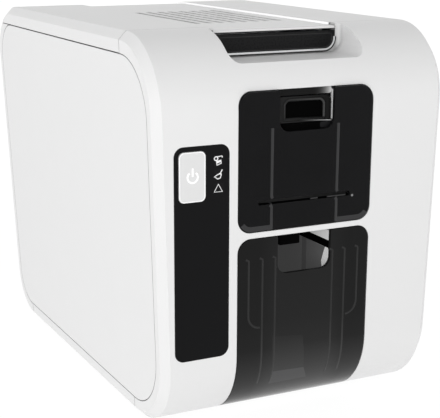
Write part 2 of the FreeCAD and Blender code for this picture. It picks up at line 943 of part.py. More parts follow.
def side_panel(side):
    """An outer plate with a raised rim behind it, and a lip that sits behind the casing round it."""
    def prism(size):
        return side_prism(d.panel_margin + size, d.lid_side_high + size,
                          d.panel_margin + size, d.panel_low_margin + size)

    depth = d.wall + d.lip_play + d.lip_thick
    plate = prism(d.seam).common(leaning(depth, 0))
    plate = plate.cut(prism(d.panel_rim).common(leaning(2 * depth, d.panel_skin)))
    lip = prism(-d.panel_lip).cut(prism(d.panel_rim)).common(leaning(depth, d.wall + d.lip_play))
    panel = plate.fuse(lip).removeSplitter()
    return panel if side > 0 else panel.mirror(FreeCAD.Vector(), FreeCAD.Vector(1, 0, 0))


made("front_fascia", front_fascia())
made("lid", lid())
made("rear_cover", rear_cover())
made("base_pan", base_pan())
made("left_side_panel", side_panel(-1))
made("right_side_panel", side_panel(1))
made("upper_door", upper_door())
made("lower_door", lower_door())

foot_x = half_body - d.foot_margin
feet = [rod("z", d.foot_wide, (zero, d.foot_high), (x, y))
        for x in (-foot_x, foot_x) for y in (-d.foot_in_y, d.foot_in_y)]
keep("rubber_feet", apart(feet))


# Control label, power button and lights
def control_label():
    span_y = (front, front + d.label_thick)
    label = rounded(label_x, (d.label_low, label_top), span_y, d.label_round, d.label_round)
    hole = rounded(grown(button_x, d.button_play), grown(button_z, d.button_play), fore,
                   d.button_round, d.button_round)
    return label.cut([hole] + [space(x, fore, z) for x, z in light_spans()])


def power_button():
    inner_y = front + d.wall + d.rest_gap
    cap = rounded(button_x, button_z, (front - d.button_proud, inner_y), d.button_round, d.button_round)
    grow = d.button_play + d.button_flange
    flange_y = (inner_y, inner_y + d.button_flange_thick)
    flange = rounded(grown(button_x, grow), grown(button_z, grow), flange_y, d.button_round, d.button_round)
    return cap.fuse(flange).removeSplitter()


made("control_label", control_label())
made("power_button", power_button())
lights = [block(x, (front, board_y), z) for x, z in light_spans()]
keep("indicator_lights", apart(lights))

switch_y = front + d.wall + 2 * d.rest_gap + d.button_flange_thick + d.button_travel
switch_x = (button_x[0] + button_x[1]) / 2
switch_z = (button_z[0] + button_z[1]) / 2
front_board = profile("y", (board_y, board_y + d.board_thick),
                      rectangle(grown(label_x, -d.board_margin), (d.label_low + d.board_margin, label_top)))
profile("y", (switch_y, board_y + d.board_thick / 2),
        rectangle(around(switch_x, d.switch_wide / 2), around(switch_z, d.switch_wide / 2)), body=front_board)
keep("front_board", front_board)

# Hinge pins of the lid
hinge_pins = []
for side in (-1, 1):
    reach = d.knuckle_long / 2 + d.knuckle_play + d.knuckle_side
    span = both(side, d.knuckle_mid - reach, d.knuckle_mid + reach)
    hinge_pins.append(rod("x", d.hinge_pin_thick, span, (hinge_y, hinge_z)))
keep("hinge_pins", apart(hinge_pins))

# Frame under the lid, and the print head on its arm
frame_cut_y = (frame_y[0] + d.frame_bar, platen_y - d.head_deep / 2)
frame = profile("z", frame_z, rectangle((-frame_half, frame_half), frame_y))
frame_windows = [
    block(grown((-frame_half, frame_half), -d.frame_bar), frame_cut_y, grown(frame_z, d.cut_over)),
    block(grown((-frame_half, frame_half), -d.frame_bar),
          (platen_y + d.head_deep / 2, frame_y[1] - d.frame_bar), grown(frame_z, d.cut_over)),
]
keep("lid_frame", without(frame, frame_windows))

head_half = d.head_wide / 2
head_z = path_high + d.card_thick + d.ribbon_lift + d.ribbon_thick + d.ribbon_lift
head_top = head_z + d.head_high
bridge_z = head_top + d.spring_high
arm_out = head_half + d.arm_play + d.arm_thick
arm_y = around(platen_y, d.head_deep / 2)
arm = profile("y", arm_y, [
    (-arm_out, head_z + d.arm_low), (-arm_out + d.arm_thick, head_z + d.arm_low),
    (-arm_out + d.arm_thick, bridge_z), (arm_out - d.arm_thick, bridge_z),
    (arm_out - d.arm_thick, head_z + d.arm_low), (arm_out, head_z + d.arm_low),
    (arm_out, frame_z[0]), (arm_out - d.arm_thick, frame_z[0]),
    (arm_out - d.arm_thick, bridge_z + d.arm_thick), (-arm_out + d.arm_thick, bridge_z + d.arm_thick),
    (-arm_out + d.arm_thick, frame_z[0]), (-arm_out, frame_z[0]),
])
keep("head_arm", arm)

edge_in = d.head_deep / 3
head = profile("x", (-head_half, head_half), [
    (platen_y - edge_in, head_z), (platen_y + edge_in, head_z),
    (arm_y[1], head_z + edge_in), (arm_y[1], head_top), (arm_y[0], head_top), (arm_y[0], head_z + edge_in),
])
keep("print_head", head)


def head_springs():
    """Two wire coils between the head and its arm's bridge, cut flat at both ends."""
    height = float(d.spring_high)
    centre_round = float(d.spring_round - d.spring_wire)
    coils = []
    for side in (-1, 1):
        lift = float(d.spring_wire)
        helix = Part.makeHelix((height - 2 * lift) / d.spring_turns, height - 2 * lift, centre_round)
        ring = Part.Wire(Part.makeCircle(float(d.spring_wire), FreeCAD.Vector(centre_round, 0, 0),
                                         FreeCAD.Vector(0, 1, 0)))
        coil = Part.Wire(helix.Edges).makePipeShell([ring], True, True)
        coil.translate(FreeCAD.Vector(side * d.spring_place, platen_y, head_top + lift))
        coils.append(coil)
    return Part.makeCompound(coils)


made("head_springs", head_springs())

# Lid handle: black bar, bright trim, and the hooks that reach down to the catches
handle_shape = rounded((-bar_half, bar_half), (bar_low, bar_top), (bar_front_y, hook_y), d.scoop_round, 0)


def lid_handle():
    arm_z = around(pivot_z, d.arm_high / 2)
    pieces = []
    for side in (-1, 1):
        span = both(side, bar_half - d.bar_cheek, bar_half)
        pieces.append(space(span, (hook_y - d.bar_thick / 2, pivot_y + d.pivot_round), arm_z))
        pin_x = both(side, bar_half - d.bar_cheek - d.ear_play - d.ear_wide, bar_half - d.bar_cheek / 2)
        pieces.append(bar("x", d.pivot_pin_thick, pin_x, (pivot_y, pivot_z)))
    return handle_shape.fuse(pieces).removeSplitter()


def handle_trim():
    """A bright lip along the bar's lower edge, up round its corners."""
    high = bar_low + d.scoop_round + d.trim_high
    span_y = (bar_front_y - d.trim_proud, bar_front_y)
    full = rounded((-bar_half, bar_half), (bar_low, high + d.scoop_round), span_y, d.scoop_round, 0)
    hole = rounded(grown((-bar_half, bar_half), -d.trim_high), (bar_low + d.trim_high, top_reach),
                   grown(span_y, d.cut_over), d.scoop_round - d.trim_high, 0)
    return full.cut(hole).common(space(z=(bar_low, high)))


made("lid_handle", lid_handle())
made("handle_trim", handle_trim())
hooks = []
for side in (-1, 1):
    span = both(side, bar_half - d.bar_cheek, bar_half - d.bar_cheek + d.hook_thick)
    hook_top = pivot_z - d.arm_high / 2
    hooks.append(profile("x", span, [
        (hook_front, hook_low), (hook_front + d.hook_deep + d.hook_toe, hook_low + d.hook_toe),
        (hook_front + d.hook_deep + d.hook_toe, hook_low + 2 * d.hook_toe),
        (hook_front + d.hook_deep, hook_low + 2 * d.hook_toe), (hook_front + d.hook_deep, hook_top),
        (hook_front, hook_top),
    ]))
keep("latch_hooks", apart(hooks))

# Chassis: two upright plates that carry the card path, tied together
LOWER = (("feed", feed_y), ("front_drive", front_drive_y), ("platen", platen_y), ("rear_drive", rear_drive_y))
UPPER = (("cleaning_roller", front_drive_y), ("pinch_roller", rear_drive_y))
shaft_places = [(y, roller_z) for name, y in LOWER] + [(y, idler_z) for name, y in UPPER]
chassis_y = (front + d.chassis_front, front + d.chassis_back)


def chassis_plate(side):
    span = both(side, chassis_in, chassis_half)
    holes = [(y, z, d.bush_thick) for y, z in shaft_places]
    holes += [(supply_y, supply_high, d.spool_shaft + d.pin_play),
              (takeup_y, takeup_high, d.spool_shaft + d.pin_play),
              (carriage_y, carriage_z, d.trunnion_thick + d.pin_play)]
    if side < 0:
        holes.append((takeup_y, pinion_z, d.ribbon_shaft + d.motor_shaft_play))
    plate = profile("x", span, rectangle(chassis_y, (floor, chassis_top)), holes)
    foot = both(side, chassis_half, chassis_half + d.chassis_flange)
    profile("x", foot, rectangle(chassis_y, (floor, floor + d.chassis_thick)), body=plate)
    catch = both(side, chassis_half, chassis_half + d.catch_long)
    profile("x", catch, circles=[(catch_y, catch_high, d.catch_thick)], body=plate)
    if side > 0:
        posts = [(y, z, d.standoff_thick)
                 for y in (mainboard_y[0] + d.standoff_in, chassis_y[1] - d.standoff_in)
                 for z in grown(mainboard_z, -d.standoff_in)]
        profile("x", (chassis_half, board_x[0]), circles=posts, body=plate)
    window = block(grown(span, d.cut_over), (front + d.window_front, front + d.window_back),
                   (floor + d.window_low, floor + d.window_low + d.window_high))
    return without(plate, [window]) if side < 0 else plate


mainboard_y = (front + d.mainboard_front, back - d.mainboard_gap)
mainboard_z = (d.mainboard_low, path_high - d.mainboard_below)
keep("left_chassis_plate", chassis_plate(-1))
keep("right_chassis_plate", chassis_plate(1))
ties = [rod("x", d.tie_thick, (-chassis_in, chassis_in), place) for place in (
    (front + d.tie_front, d.tie_low), (front + d.tie_back, d.tie_mid), (front + d.tie_back, tie_top))]
keep("tie_bars", apart(ties))

# Hopper, card weight, output bin and the ramp that leads down to it
hopper_floor = path_high - d.floor_drop
hopper_z = (hopper_floor - d.tray_wall, hopper_top)
ledges = [block(both(side, tray_half, chassis_in), around(rail_y, d.ledge_deep / 2), span)
          for side in (-1, 1)
          for span in (around(hopper_z[0] - d.ledge_high / 2, d.ledge_high / 2),
                       around(hopper_top - d.ledge_high / 2, d.ledge_high / 2))]
hopper_block = block((-tray_half, tray_half), (hopper_y, hopper_end_y + d.tray_wall), hopper_z)
hopper_shell = joined([hopper_block] + ledges)
feed_half = d.feed_long / 2 + d.feed_window_play
slot_half = d.weight_ear / 2 + d.rail_play
hopper = without(hopper_shell, [
    block((-chassis_half, chassis_half), (hopper_y - d.tray_wall, hopper_y + d.hopper_corner_deep),
          (hopper_top - d.hopper_corner_high, hopper_top + d.tray_wall)),
    block((-card_half, card_half), (hopper_y - d.cut_over, hopper_end_y),
          (hopper_floor, hopper_top + d.cut_over)),
    block((-feed_half, feed_half), around(feed_y, d.feed_window),
          grown((hopper_z[0], hopper_floor), d.tray_wall)),
    block((-card_half, card_half), grown((hopper_end_y, hopper_end_y), d.cut_over),
          (hopper_floor, path_high + d.exit_gap)),
] + [block(both(side, card_half - d.tray_wall, tray_half), around(rail_y, slot_half),
           (hopper_floor, hopper_top - d.ledge_high)) for side in (-1, 1)])
rails = [rod("z", d.rail_thick, (hopper_z[0], hopper_top - d.ledge_high), (side * rail_x, rail_y))
         for side in (-1, 1)]
keep("input_hopper", joined([hopper] + rails))

weight_z = (path_high + d.rest_gap, path_high + d.rest_gap + d.weight_thick)
weight_half = card_half - d.weight_play
weight_ears = [block(both(side, weight_half - d.tray_wall, chassis_in - d.rest_gap),
                     around(rail_y, d.weight_ear / 2), weight_z) for side in (-1, 1)]
weight = block((-weight_half, weight_half), (hopper_y, hopper_end_y - d.weight_play), weight_z)
keep("card_weight", without(joined([weight] + weight_ears), [
    rod("z", d.rail_thick + d.pin_play, grown(weight_z, d.cut_over), (side * rail_x, rail_y))
    for side in (-1, 1)]))

bin_z = (d.bin_low, bin_side_top)
bin_floor = d.bin_low + d.tray_wall
bin_ledge_y = around(front + d.chassis_front + d.ledge_deep, d.ledge_deep / 2)
bin_ledges = [block(both(side, tray_half, chassis_in), bin_ledge_y, (z, z + d.ledge_high))
              for side in (-1, 1) for z in (bin_floor, bin_side_top - d.ledge_high)]
bin_shell = joined([block((-tray_half, tray_half), (bin_y, bin_end_y + d.tray_wall), bin_z)] + bin_ledges)
keep("output_bin", without(bin_shell, [
    block((-card_half, card_half), (bin_y - d.cut_over, bin_end_y), (bin_floor, bin_side_top + d.cut_over)),
    block((-card_half, card_half), grown((bin_end_y, bin_end_y), d.cut_over),
          (bin_rear_top, bin_side_top + d.cut_over)),
]))


def exit_line(y):
    """Height of the ramp's upper face under the card's way out of the tilted carriage."""
    return carriage_z - (carriage_y - y) * d.tilt_slope_share - d.ramp_below


ramp_y = (bin_end_y + d.tray_wall, carriage_y - d.carriage_long / 2 + d.ramp_in)
keep("exit_ramp", profile("x", (-chassis_in, chassis_in), [
    (ramp_y[0], exit_line(ramp_y[0]) - d.ramp_thick), (ramp_y[1], exit_line(ramp_y[1]) - d.ramp_thick),
    (ramp_y[1], exit_line(ramp_y[1])), (ramp_y[0], exit_line(ramp_y[0])),
]))

# Rollers, their shafts with pulleys, bushes, belt and motor
shaft_end = chassis_half + d.bush_flange_long + d.shaft_over
for name, y in LOWER:
    half = (d.feed_long if name == "feed" else d.roller_long) / 2
    place = (y, roller_z)
    sleeve = rod("x", d.roller_thick, (-half, half), place)
    hole = rod("x", d.shaft_thick, grown((-half, half), d.cut_over), place)
    keep("platen_roller" if name == "platen" else f"{name}_roller", without(sleeve, [hole]))
    shaft = rod("x", d.shaft_thick, (pulley_x, shaft_end), place)
    pulley = rod("x", d.roller_thick, (pulley_x, pulley_x + d.pulley_long), place)
    keep(f"{name}_shaft", joined([shaft, pulley]))
for name, y in UPPER:
    half = d.roller_long / 2
    roller = rod("x", d.idler_thick, (-half, half), (y, idler_z))
    axle = rod("x", d.shaft_thick, (-shaft_end, shaft_end), (y, idler_z))
    keep(name, joined([roller, axle]))
bushes = []
for place in shaft_places:
    for side in (-1, 1):
        sleeve = rod("x", d.bush_thick, both(side, chassis_in, chassis_half), place)
        flange = rod("x", d.bush_flange, both(side, chassis_half, chassis_half + d.bush_flange_long), place)
        through = both(side, chassis_in - d.wall, chassis_half + d.wall)
        hole = rod("x", d.shaft_thick + d.pin_play, through, place)
        bushes.append(without(joined([sleeve, flange]), [hole]))
keep("shaft_bushes", apart(bushes))


def drive_belt():
    """One loop round the end pulleys and the motor's, flat over the pulleys between."""
    places = [(feed_y, roller_z), (rear_drive_y, roller_z), (motor_y, motor_high)]
    corners = [FreeCAD.Vector(pulley_x, y, z) for y, z in places]
    middle = Part.Face(Part.makePolygon(corners + corners[:1]))
    inside = float(d.roller_thick + d.belt_play)
    loops = [middle.makeOffset2D(size, 0) for size in (inside, inside + d.belt_thick)]
    ring = loops[1].cut(loops[0])
    return ring.extrude(FreeCAD.Vector(d.pulley_long, 0, 0))


made("drive_belt", drive_belt())
motor_place = (motor_y, motor_high)
plate_x = (pulley_x - d.motor_plate_gap - d.motor_plate_thick, pulley_x - d.motor_plate_gap)
leg_x = (plate_x[1], -chassis_half)
plate_z = (motor_high - d.motor_plate_down, motor_high + d.motor_plate_up)
motor_plate = profile("x", plate_x, rectangle(around(motor_y, d.motor_plate_half), plate_z),
                      [(motor_y, motor_high, d.motor_shaft + d.motor_shaft_play)])
for low in (plate_z[0], plate_z[1] - d.leg_high):
    profile("x", leg_x, rectangle(around(motor_y, d.leg_half), (low, low + d.leg_high)), body=motor_plate)
keep("motor_plate", motor_plate)
motor_x = (d.motor_margin - half_body, plate_x[0])
motor_can = rod("x", d.motor_thick, motor_x, motor_place)
motor_hole = rod("x", d.motor_shaft + d.motor_shaft_play, (plate_x[0] - d.motor_plate_gap, plate_x[1]),
                 motor_place)
keep("drive_motor", without(motor_can, [motor_hole]))
keep("motor_pulley", joined([
    rod("x", d.roller_thick, (pulley_x, pulley_x + d.pulley_long), motor_place),
    rod("x", d.motor_shaft, (plate_x[0] - d.motor_plate_gap + d.rest_gap, pulley_x + d.pulley_long),
        motor_place)]))

# Ribbon: two spools, the film between them, and the gears that wind it
ribbon_half = d.ribbon_wide / 2


def spool(name, place, low, radius):
    inner = chassis_in - d.rest_gap
    core = rod("x", radius, (-inner, inner), place)
    shaft = rod("x", d.spool_shaft, (low, chassis_half + d.rest_gap), place)
    return keep(name, joined([core, shaft]))


def wound(name, place, radius):
    roll = rod("x", radius, (-ribbon_half, ribbon_half), place)
    hole = rod("x", d.spool_core, grown((-ribbon_half, ribbon_half), d.cut_over), place)
    return keep(name, without(roll, [hole]))


supply_place = (supply_y, supply_high)
takeup_place = (takeup_y, takeup_high)
gear_x = (pulley_x, pulley_x + d.gear_face)
spool("supply_spool", supply_place, -chassis_half - d.rest_gap, d.spool_core)
spool("takeup_spool", takeup_place, gear_x[0], d.takeup_core)
wound("supply_roll", supply_place, d.supply_roll)

film_z = path_high + d.card_thick + d.ribbon_lift
film_y = around(platen_y, d.ribbon_bend)
supply_edge = supply_y - d.supply_roll - d.spool_gap
takeup_edge = takeup_y + d.takeup_core + d.spool_gap
keep("ribbon_film", profile("x", (-ribbon_half, ribbon_half), [
    (film_y[0], film_z), (film_y[1], film_z), (supply_edge, supply_high),
    (supply_edge - 2 * d.ribbon_thick, supply_high), (film_y[1] - d.ribbon_thick, film_z + d.ribbon_thick),
    (film_y[0] + d.ribbon_thick, film_z + d.ribbon_thick), (takeup_edge + 2 * d.ribbon_thick, takeup_high),
    (takeup_edge, takeup_high),
]))


def gear(name, radius, teeth, bore, place, turn, shaft=None):
    """A spur gear made at the origin and carried to its shaft, or to its place with a shaft of its own."""
    circles = [(zero, zero, radius - d.tooth_in)] + ([] if shaft else [(zero, zero, bore)])
    body = profile("x", (-d.gear_face / 2, d.gear_face / 2), circles=circles)
    if shaft:
        profile("x", shaft, circles=[(zero, zero, bore)], body=body)
    doc.recompute()
    root, tip = radius - d.tooth_in - d.tooth_out, radius + d.tooth_out
    tooth = profile("x", (-d.gear_face / 2, d.gear_face / 2), [
        (-d.tooth_root / 2, root), (d.tooth_root / 2, root), (d.tooth_tip / 2, tip), (-d.tooth_tip / 2, tip),
    ], body=body)
    ring = body.newObject("PartDesign::PolarPattern", "teeth")
    ring.Originals = [body.Tip]
    ring.Axis = ([item for item in body.Origin.OriginFeatures if item.Role == "X_Axis"][0], [""])
    ring.Angle = 360
    ring.setExpression("Occurrences", text_of(teeth))
    body.Tip = ring
    body.Placement = FreeCAD.Placement(FreeCAD.Vector(), FreeCAD.Rotation(FreeCAD.Vector(1, 0, 0), turn))
    for axis, size in zip("xyz", ((gear_x[0] + gear_x[1]) / 2, place[0], place[1])):
        body.setExpression(f"Placement.Base.{axis}", text_of(size))
    return keep(name, tooth)


gear("takeup_gear", d.gear_radius, d.gear_teeth, d.spool_shaft, takeup_place, 0)
gear("ribbon_pinion", d.pinion_radius, d.pinion_teeth, d.ribbon_shaft, (takeup_y, pinion_z),
     180 / float(d.pinion_teeth), (zero, d.wall - d.rest_gap - chassis_in - (gear_x[0] + gear_x[1]) / 2))
ribbon_motor_x = (-chassis_in, d.ribbon_motor_long - chassis_in)
ribbon_motor_place = (takeup_y, pinion_z)
keep("ribbon_motor", without(rod("x", d.ribbon_motor_thick, ribbon_motor_x, ribbon_motor_place), [
    rod("x", d.ribbon_shaft + d.motor_shaft_play, (-chassis_half, d.wall - chassis_in), ribbon_motor_place)]))

# Tilting carriage that turns the card down to the bin
carriage_y_span = around(carriage_y, d.carriage_long / 2)
cheek_out = chassis_in - d.cheek_gap
guide_half = cheek_out - d.cheek_thick / 2
carriage_parts = []
for side in (-1, 1):
    carriage_parts.append(rod("x", d.cheek_round, both(side, cheek_out - d.cheek_thick, cheek_out),
                              (carriage_y, carriage_z)))
    carriage_parts.append(rod("x", d.trunnion_thick,
                              both(side, cheek_out - d.cheek_thick / 2, chassis_half + d.shaft_over),
                              (carriage_y, carriage_z)))
    guide = carriage_z + side * (d.guide_gap + d.guide_thick) / 2
    carriage_parts.append(block((-guide_half, guide_half), carriage_y_span, around(guide, d.guide_thick / 2)))
roller_place = (carriage_y - d.carriage_roller_in, carriage_z - d.card_thick / 2 - d.carriage_roller)
roller_half = cheek_out - d.cheek_thick - d.cheek_gap
window_half = roller_half + d.cheek_gap / 2
keep("tilt_carriage", without(joined(carriage_parts), [
    rod("x", d.carriage_axle + d.pin_play, (-cheek_out - d.wall, cheek_out + d.wall), roller_place),
    block((-window_half, window_half), around(roller_place[0], d.carriage_roller + d.carriage_window),
          (carriage_z - d.guide_gap - d.guide_thick, carriage_z - d.card_thick / 2)),
    block((-window_half, window_half), carriage_y_span, around(carriage_z, d.guide_gap / 2)),
]))
keep("carriage_roller", joined([
    rod("x", d.carriage_roller, (-roller_half, roller_half), roller_place),
    rod("x", d.carriage_axle, (-cheek_out, cheek_out), roller_place)]))
tilt_motor_x = (chassis_half, chassis_half + d.tilt_motor_long)
keep("tilt_motor", without(rod("x", d.tilt_motor_thick, tilt_motor_x, (carriage_y, carriage_z)), [
    rod("x", d.trunnion_thick + d.motor_shaft_play, (chassis_half, chassis_half + d.shaft_over + d.rest_gap),
        (carriage_y, carriage_z))]))

# Electronics and sockets
keep("main_board", profile("x", board_x, rectangle(mainboard_y, mainboard_z)))
chip_place_shares = ((0.2, 0.55, 0.16), (0.5, 0.6, 0.12), (0.72, 0.75, 0.08), (0.35, 0.22, 0.1))
capacitor_place_shares = ((0.82, 0.12), (0.68, 0.12), (0.86, 0.9))


def along(span, share):
    return span[0] + (span[1] - span[0]) * share


chips = []
for y_share, z_share, half_share in chip_place_shares:
    half = (mainboard_z[1] - mainboard_z[0]) * half_share
    chips.append(block((board_x[1], board_x[1] + d.chip_high), around(along(mainboard_y, y_share), half),
                       around(along(mainboard_z, z_share), half)))
for y_share, z_share in capacitor_place_shares:
    chips.append(rod("x", d.capacitor_round, (board_x[1], board_x[1] + d.capacitor_high),
                     (along(mainboard_y, y_share), along(mainboard_z, z_share))))
keep("board_parts", apart(chips))
socket_y = (socket_back - d.socket_deep, socket_back)
jack = without(block(jack_x, socket_y, jack_z), [
    rod("y", d.jack_bore, (socket_back - d.jack_bore_deep, socket_back + d.wall),
        ((jack_x[0] + jack_x[1]) / 2, (jack_z[0] + jack_z[1]) / 2))])
usb = without(block(usb_x, socket_y, usb_z), [
    block(around((usb_x[0] + usb_x[1]) / 2, d.usb_port_wide / 2),
          (socket_back - d.usb_port_deep, socket_back + d.wall),
          around((usb_z[0] + usb_z[1]) / 2, d.usb_port_high / 2))])
keep("power_socket", jack)
keep("data_socket", usb)

# Fan behind the rear grille
fan_back = rear_line(fan_low) - d.wall - d.rest_gap
fan_y = (fan_back - d.fan_deep, fan_back)
fan_x = (-fan_left, d.fan_wide - fan_left)
fan_z = (fan_low, fan_low + d.fan_wide)
spoke_y = (fan_y[1] - d.fan_spoke_deep, fan_y[1])
fan_place = (fan_middle_x, fan_middle_z)
fan_ring = without(block(fan_x, fan_y, fan_z), [rod("y", d.fan_bore, grown(fan_y, d.wall), fan_place)])
keep("fan_frame", joined([
    fan_ring,
    block(fan_x, spoke_y, around(fan_middle_z, d.fan_spoke / 2)),
    block(around(fan_middle_x, d.fan_spoke / 2), spoke_y, fan_z),
    rod("y", d.fan_hub, spoke_y, fan_place),
    rod("y", d.fan_pin, (fan_y[0] + d.blade_gap, spoke_y[1]), fan_place),
]))


def fan_rotor():
    """A hub with pitched blades round a running pin."""
    rotor_y = (fan_y[0] + d.blade_gap, spoke_y[0] - d.blade_gap)
    hub = bar("y", d.fan_hub, rotor_y, fan_place)
    centre = FreeCAD.Vector(fan_middle_x, (rotor_y[0] + rotor_y[1]) / 2, fan_middle_z)
    reach = d.fan_bore - d.blade_gap
    chord = (rotor_y[1] - rotor_y[0]) * d.blade_chord_share
    corner = FreeCAD.Vector(0, -d.blade_thick / 2, -chord / 2)
    pieces = []
    for index in range(int(d.blade_count)):
        blade = Part.makeBox(float(reach), float(d.blade_thick), float(chord), corner)
        blade.rotate(FreeCAD.Vector(), FreeCAD.Vector(1, 0, 0), float(d.blade_pitch_deg))
        blade.rotate(FreeCAD.Vector(), FreeCAD.Vector(0, 1, 0), 360 * index / float(d.blade_count))
        blade.translate(centre)
        pieces.append(blade)
    solid = hub.fuse(pieces).common(bar("y", reach, rotor_y, fan_place))
    return solid.cut(bar("y", d.fan_pin + d.pin_play, rotor_y, fan_place))


made("fan_rotor", fan_rotor())
keep("case_screws", apart([rod("y", d.screw_round, screw_span(z), (x, z)) for x, z in screw_places()]))

doc.recompute()

# Every object has to be sound before anything is written
for item in doc.Objects:
    if "Invalid" in item.State or "Error" in item.State:
        raise RuntimeError(f"{item.Name} failed: {item.State}")
for label, item in nodes.items():
    if item.Shape.isNull() or not item.Shape.isValid() or not item.Shape.Solids:
        raise RuntimeError(f"{label} has no valid solid")

os.makedirs("parts", exist_ok=True)
for label, item in nodes.items():
    item.Shape.exportStep(f"parts/{label}.step")
    print(label, len(item.Shape.Solids), round(item.Shape.Volume, 1))
print(len(nodes), "pieces")
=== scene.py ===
import json
import math

import bmesh
import bpy
from bpy.props import FloatProperty, FloatVectorProperty, IntProperty, PointerProperty
from mathutils import Matrix, Vector


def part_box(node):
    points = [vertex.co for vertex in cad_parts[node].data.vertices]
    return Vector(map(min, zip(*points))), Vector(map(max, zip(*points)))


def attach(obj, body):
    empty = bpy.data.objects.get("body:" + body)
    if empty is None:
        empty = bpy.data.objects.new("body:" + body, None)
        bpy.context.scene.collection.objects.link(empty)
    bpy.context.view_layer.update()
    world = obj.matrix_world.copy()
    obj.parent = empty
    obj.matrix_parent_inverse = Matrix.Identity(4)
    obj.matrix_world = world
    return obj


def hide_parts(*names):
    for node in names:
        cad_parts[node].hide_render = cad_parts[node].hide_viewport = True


bl_info = {
    "name": "Card printer",
    "version": (1, 0, 0),
    "blender": (4, 5, 0),
    "location": "View3D > Sidebar > Card printer",
    "description": "Finishes a desktop card printer: doors, marks, screws, materials and a studio",
    "category": "Object",
}

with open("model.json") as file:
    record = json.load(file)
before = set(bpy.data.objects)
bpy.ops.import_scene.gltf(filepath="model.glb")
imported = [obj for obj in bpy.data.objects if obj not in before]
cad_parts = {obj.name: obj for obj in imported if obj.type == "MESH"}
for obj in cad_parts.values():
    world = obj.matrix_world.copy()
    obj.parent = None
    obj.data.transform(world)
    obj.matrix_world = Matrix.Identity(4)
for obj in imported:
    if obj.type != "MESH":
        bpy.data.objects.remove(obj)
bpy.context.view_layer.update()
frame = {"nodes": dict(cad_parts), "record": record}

MM = 0.001
UPPER_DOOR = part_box("upper_door")
LOWER_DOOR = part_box("lower_door")
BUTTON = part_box("power_button")
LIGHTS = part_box("indicator_lights")
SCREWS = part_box("case_screws")
DOOR_SPOT = UPPER_DOOR[0].y  # Where the doors' outer faces stand
FLANGE = 1.6 * MM  # From the power button's outer box to its cap
BIN_WALL = 27.75 * MM  # x of the wall that shows through the lower door's notch
STUD_START, STUD_END, STUD_RADIUS = 0.0475, 0.0526, 0.0008
UPPER_PIVOT = (0.147, -0.1635)  # Height and y of the upper door's studs
LOWER_PIVOT = (0.010206, -0.137998)  # The same for the lower door

# Body and slot of the pieces made here
UPPER = ("upper_door", "smoked_door")
LOWER = ("lower_door", "smoked_door")
HOUSING = ("housing", "black_plastic")
POWER_BUTTON = ("power_button", "grey_button")

WHITE = (1, 1, 1, 1)
CLOUD_SCALE = 45  # Noise scale of a material's slow changes of colour
RELIEF = 0.4 * MM  # Depth of a surface's fine relief at full strength
MIX_LOW, MIX_HIGH, MIX_RESULT = 6, 7, 2  # Colour sockets of a mix node
FLOOR_RADIUS = 6
FLOOR_NEAR, FLOOR_FAR = 0.35, 1.6  # The floor's own light rises between these distances
LAMP_AIM = (0, 0, 0.13)
CAMERA_PLACE = (-0.38310, -0.80889, 0.32910)

finishes = {}
trees = {}


def number(description, default, **more):
    return FloatProperty(description=description, default=default, **more)


def length(description, default):
    return number(description, default, unit="LENGTH", precision=5)


def share(description, default):
    return number(description, default, min=0, max=1)


def colour(description, default):
    return FloatVectorProperty(description=description, default=default, subtype="COLOR",
                               min=0, max=1)


class CasingLook(bpy.types.PropertyGroup):
    """White casing and what stands on it."""
    white: colour("Colour of the moulded casing", (0.79, 0.79, 0.79))
    grain: length("Size of the casing's fine grain", 0.0006)
    edge: length("Radius that softens the casing's edges", 0.0006)
    screw_radius: length("Radius of a case screw's head", 0.003)
    screw_rise: length("How far a screw's head is domed", 0.0007)
    # Painted shade: an ambient occlusion node darkens the casing's colour inside gaps narrower
    # than this
    gap_reach: length("Gaps narrower than this look darker inside", 0.006)
    gap_shade: share("How much of its brightness the inside of a gap keeps", 0.20)
    # Painted highlight: a glowing white bead stands for light on the step at the channel's edge
    step_highlight_radius: length("Radius of the bright edge along the lid's channel", 0.0010)
    channel_half: length("Half the width of the lid's channel", 0.046)
    # Painted shadow: a dark bead round the handle bar stands for the shade in the gap under its
    # trim
    shadow_line_radius: length("Radius of the dark seal round the handle bar", 0.00048)


class DoorLook(bpy.types.PropertyGroup):
    """Smoked doors on the front."""
    half_wide: length("Half the width of both doors", 0.0496)
    thick: length("Thickness of the doors' walls", 0.003)
    corner: length("Radius of the doors' corners", 0.0095)
    edge: length("Width of the rounded edge", 0.0006)
    notch_half: length("Half the width of the finger notches", 0.020)
    notch_round: length("Radius of a notch's lower corners", 0.007)
    notch_lip: length("Radius of a notch's upper corners", 0.0018)
    upper_notch: length("Depth of the upper door's notch", 0.0267)
    lower_notch: length("Depth of the lower door's notch", 0.026)
    slot_left: length("Left end of the hand-feed slot", -0.035)
    slot_right: length("Right end of the hand-feed slot", 0.034)
    slot_middle: length("Height of the hand-feed slot's middle", 0.156)
    slot_half: length("Half the height of the hand-feed slot", 0.0014)
    bend_height: length("Height where the lower door starts to curve under", 0.0535)
    bend_radius: length("Radius of that curve", 0.051)
    bend_degrees: number("How far round the lower door goes, in degrees", 61.0)
    rib_left: length("Place of the upper door's left rib", -0.0255)
    rib_right: length("Place of the upper door's right rib", 0.0235)
    rib_radius: length("Radius of the upper door's rounded ribs", 0.0021)
    rib_sunk: length("How deep such a rib's middle lies in the door", 0.0018)
    fine_radius: length("Radius of the lower door's ribs", 0.0010)
    fine_sunk: length("How deep such a rib's middle lies in the door", 0.00072)
    skin: length("How far a lighter patch stands on a door", 0.00004)
    rib_sides: IntProperty(description="Sides of a rib's round section", default=16)
    smoke: colour("Colour of the smoked plastic", (0.007, 0.007, 0.0075))
    rib_grey: colour("Colour of the upper door's ribs", (0.032, 0.032, 0.033))
    fine_grey: share("Grey of the lower door's ribs at their upper end", 0.022)
    fine_low: share("Grey of the same ribs at their lower end", 0.060)
    step_grey: colour("Colour of the upper door's lower edge", (0.040, 0.040, 0.041))
    patch_grey: colour("Colour of what shows through the lower door", (0.080, 0.080, 0.081))


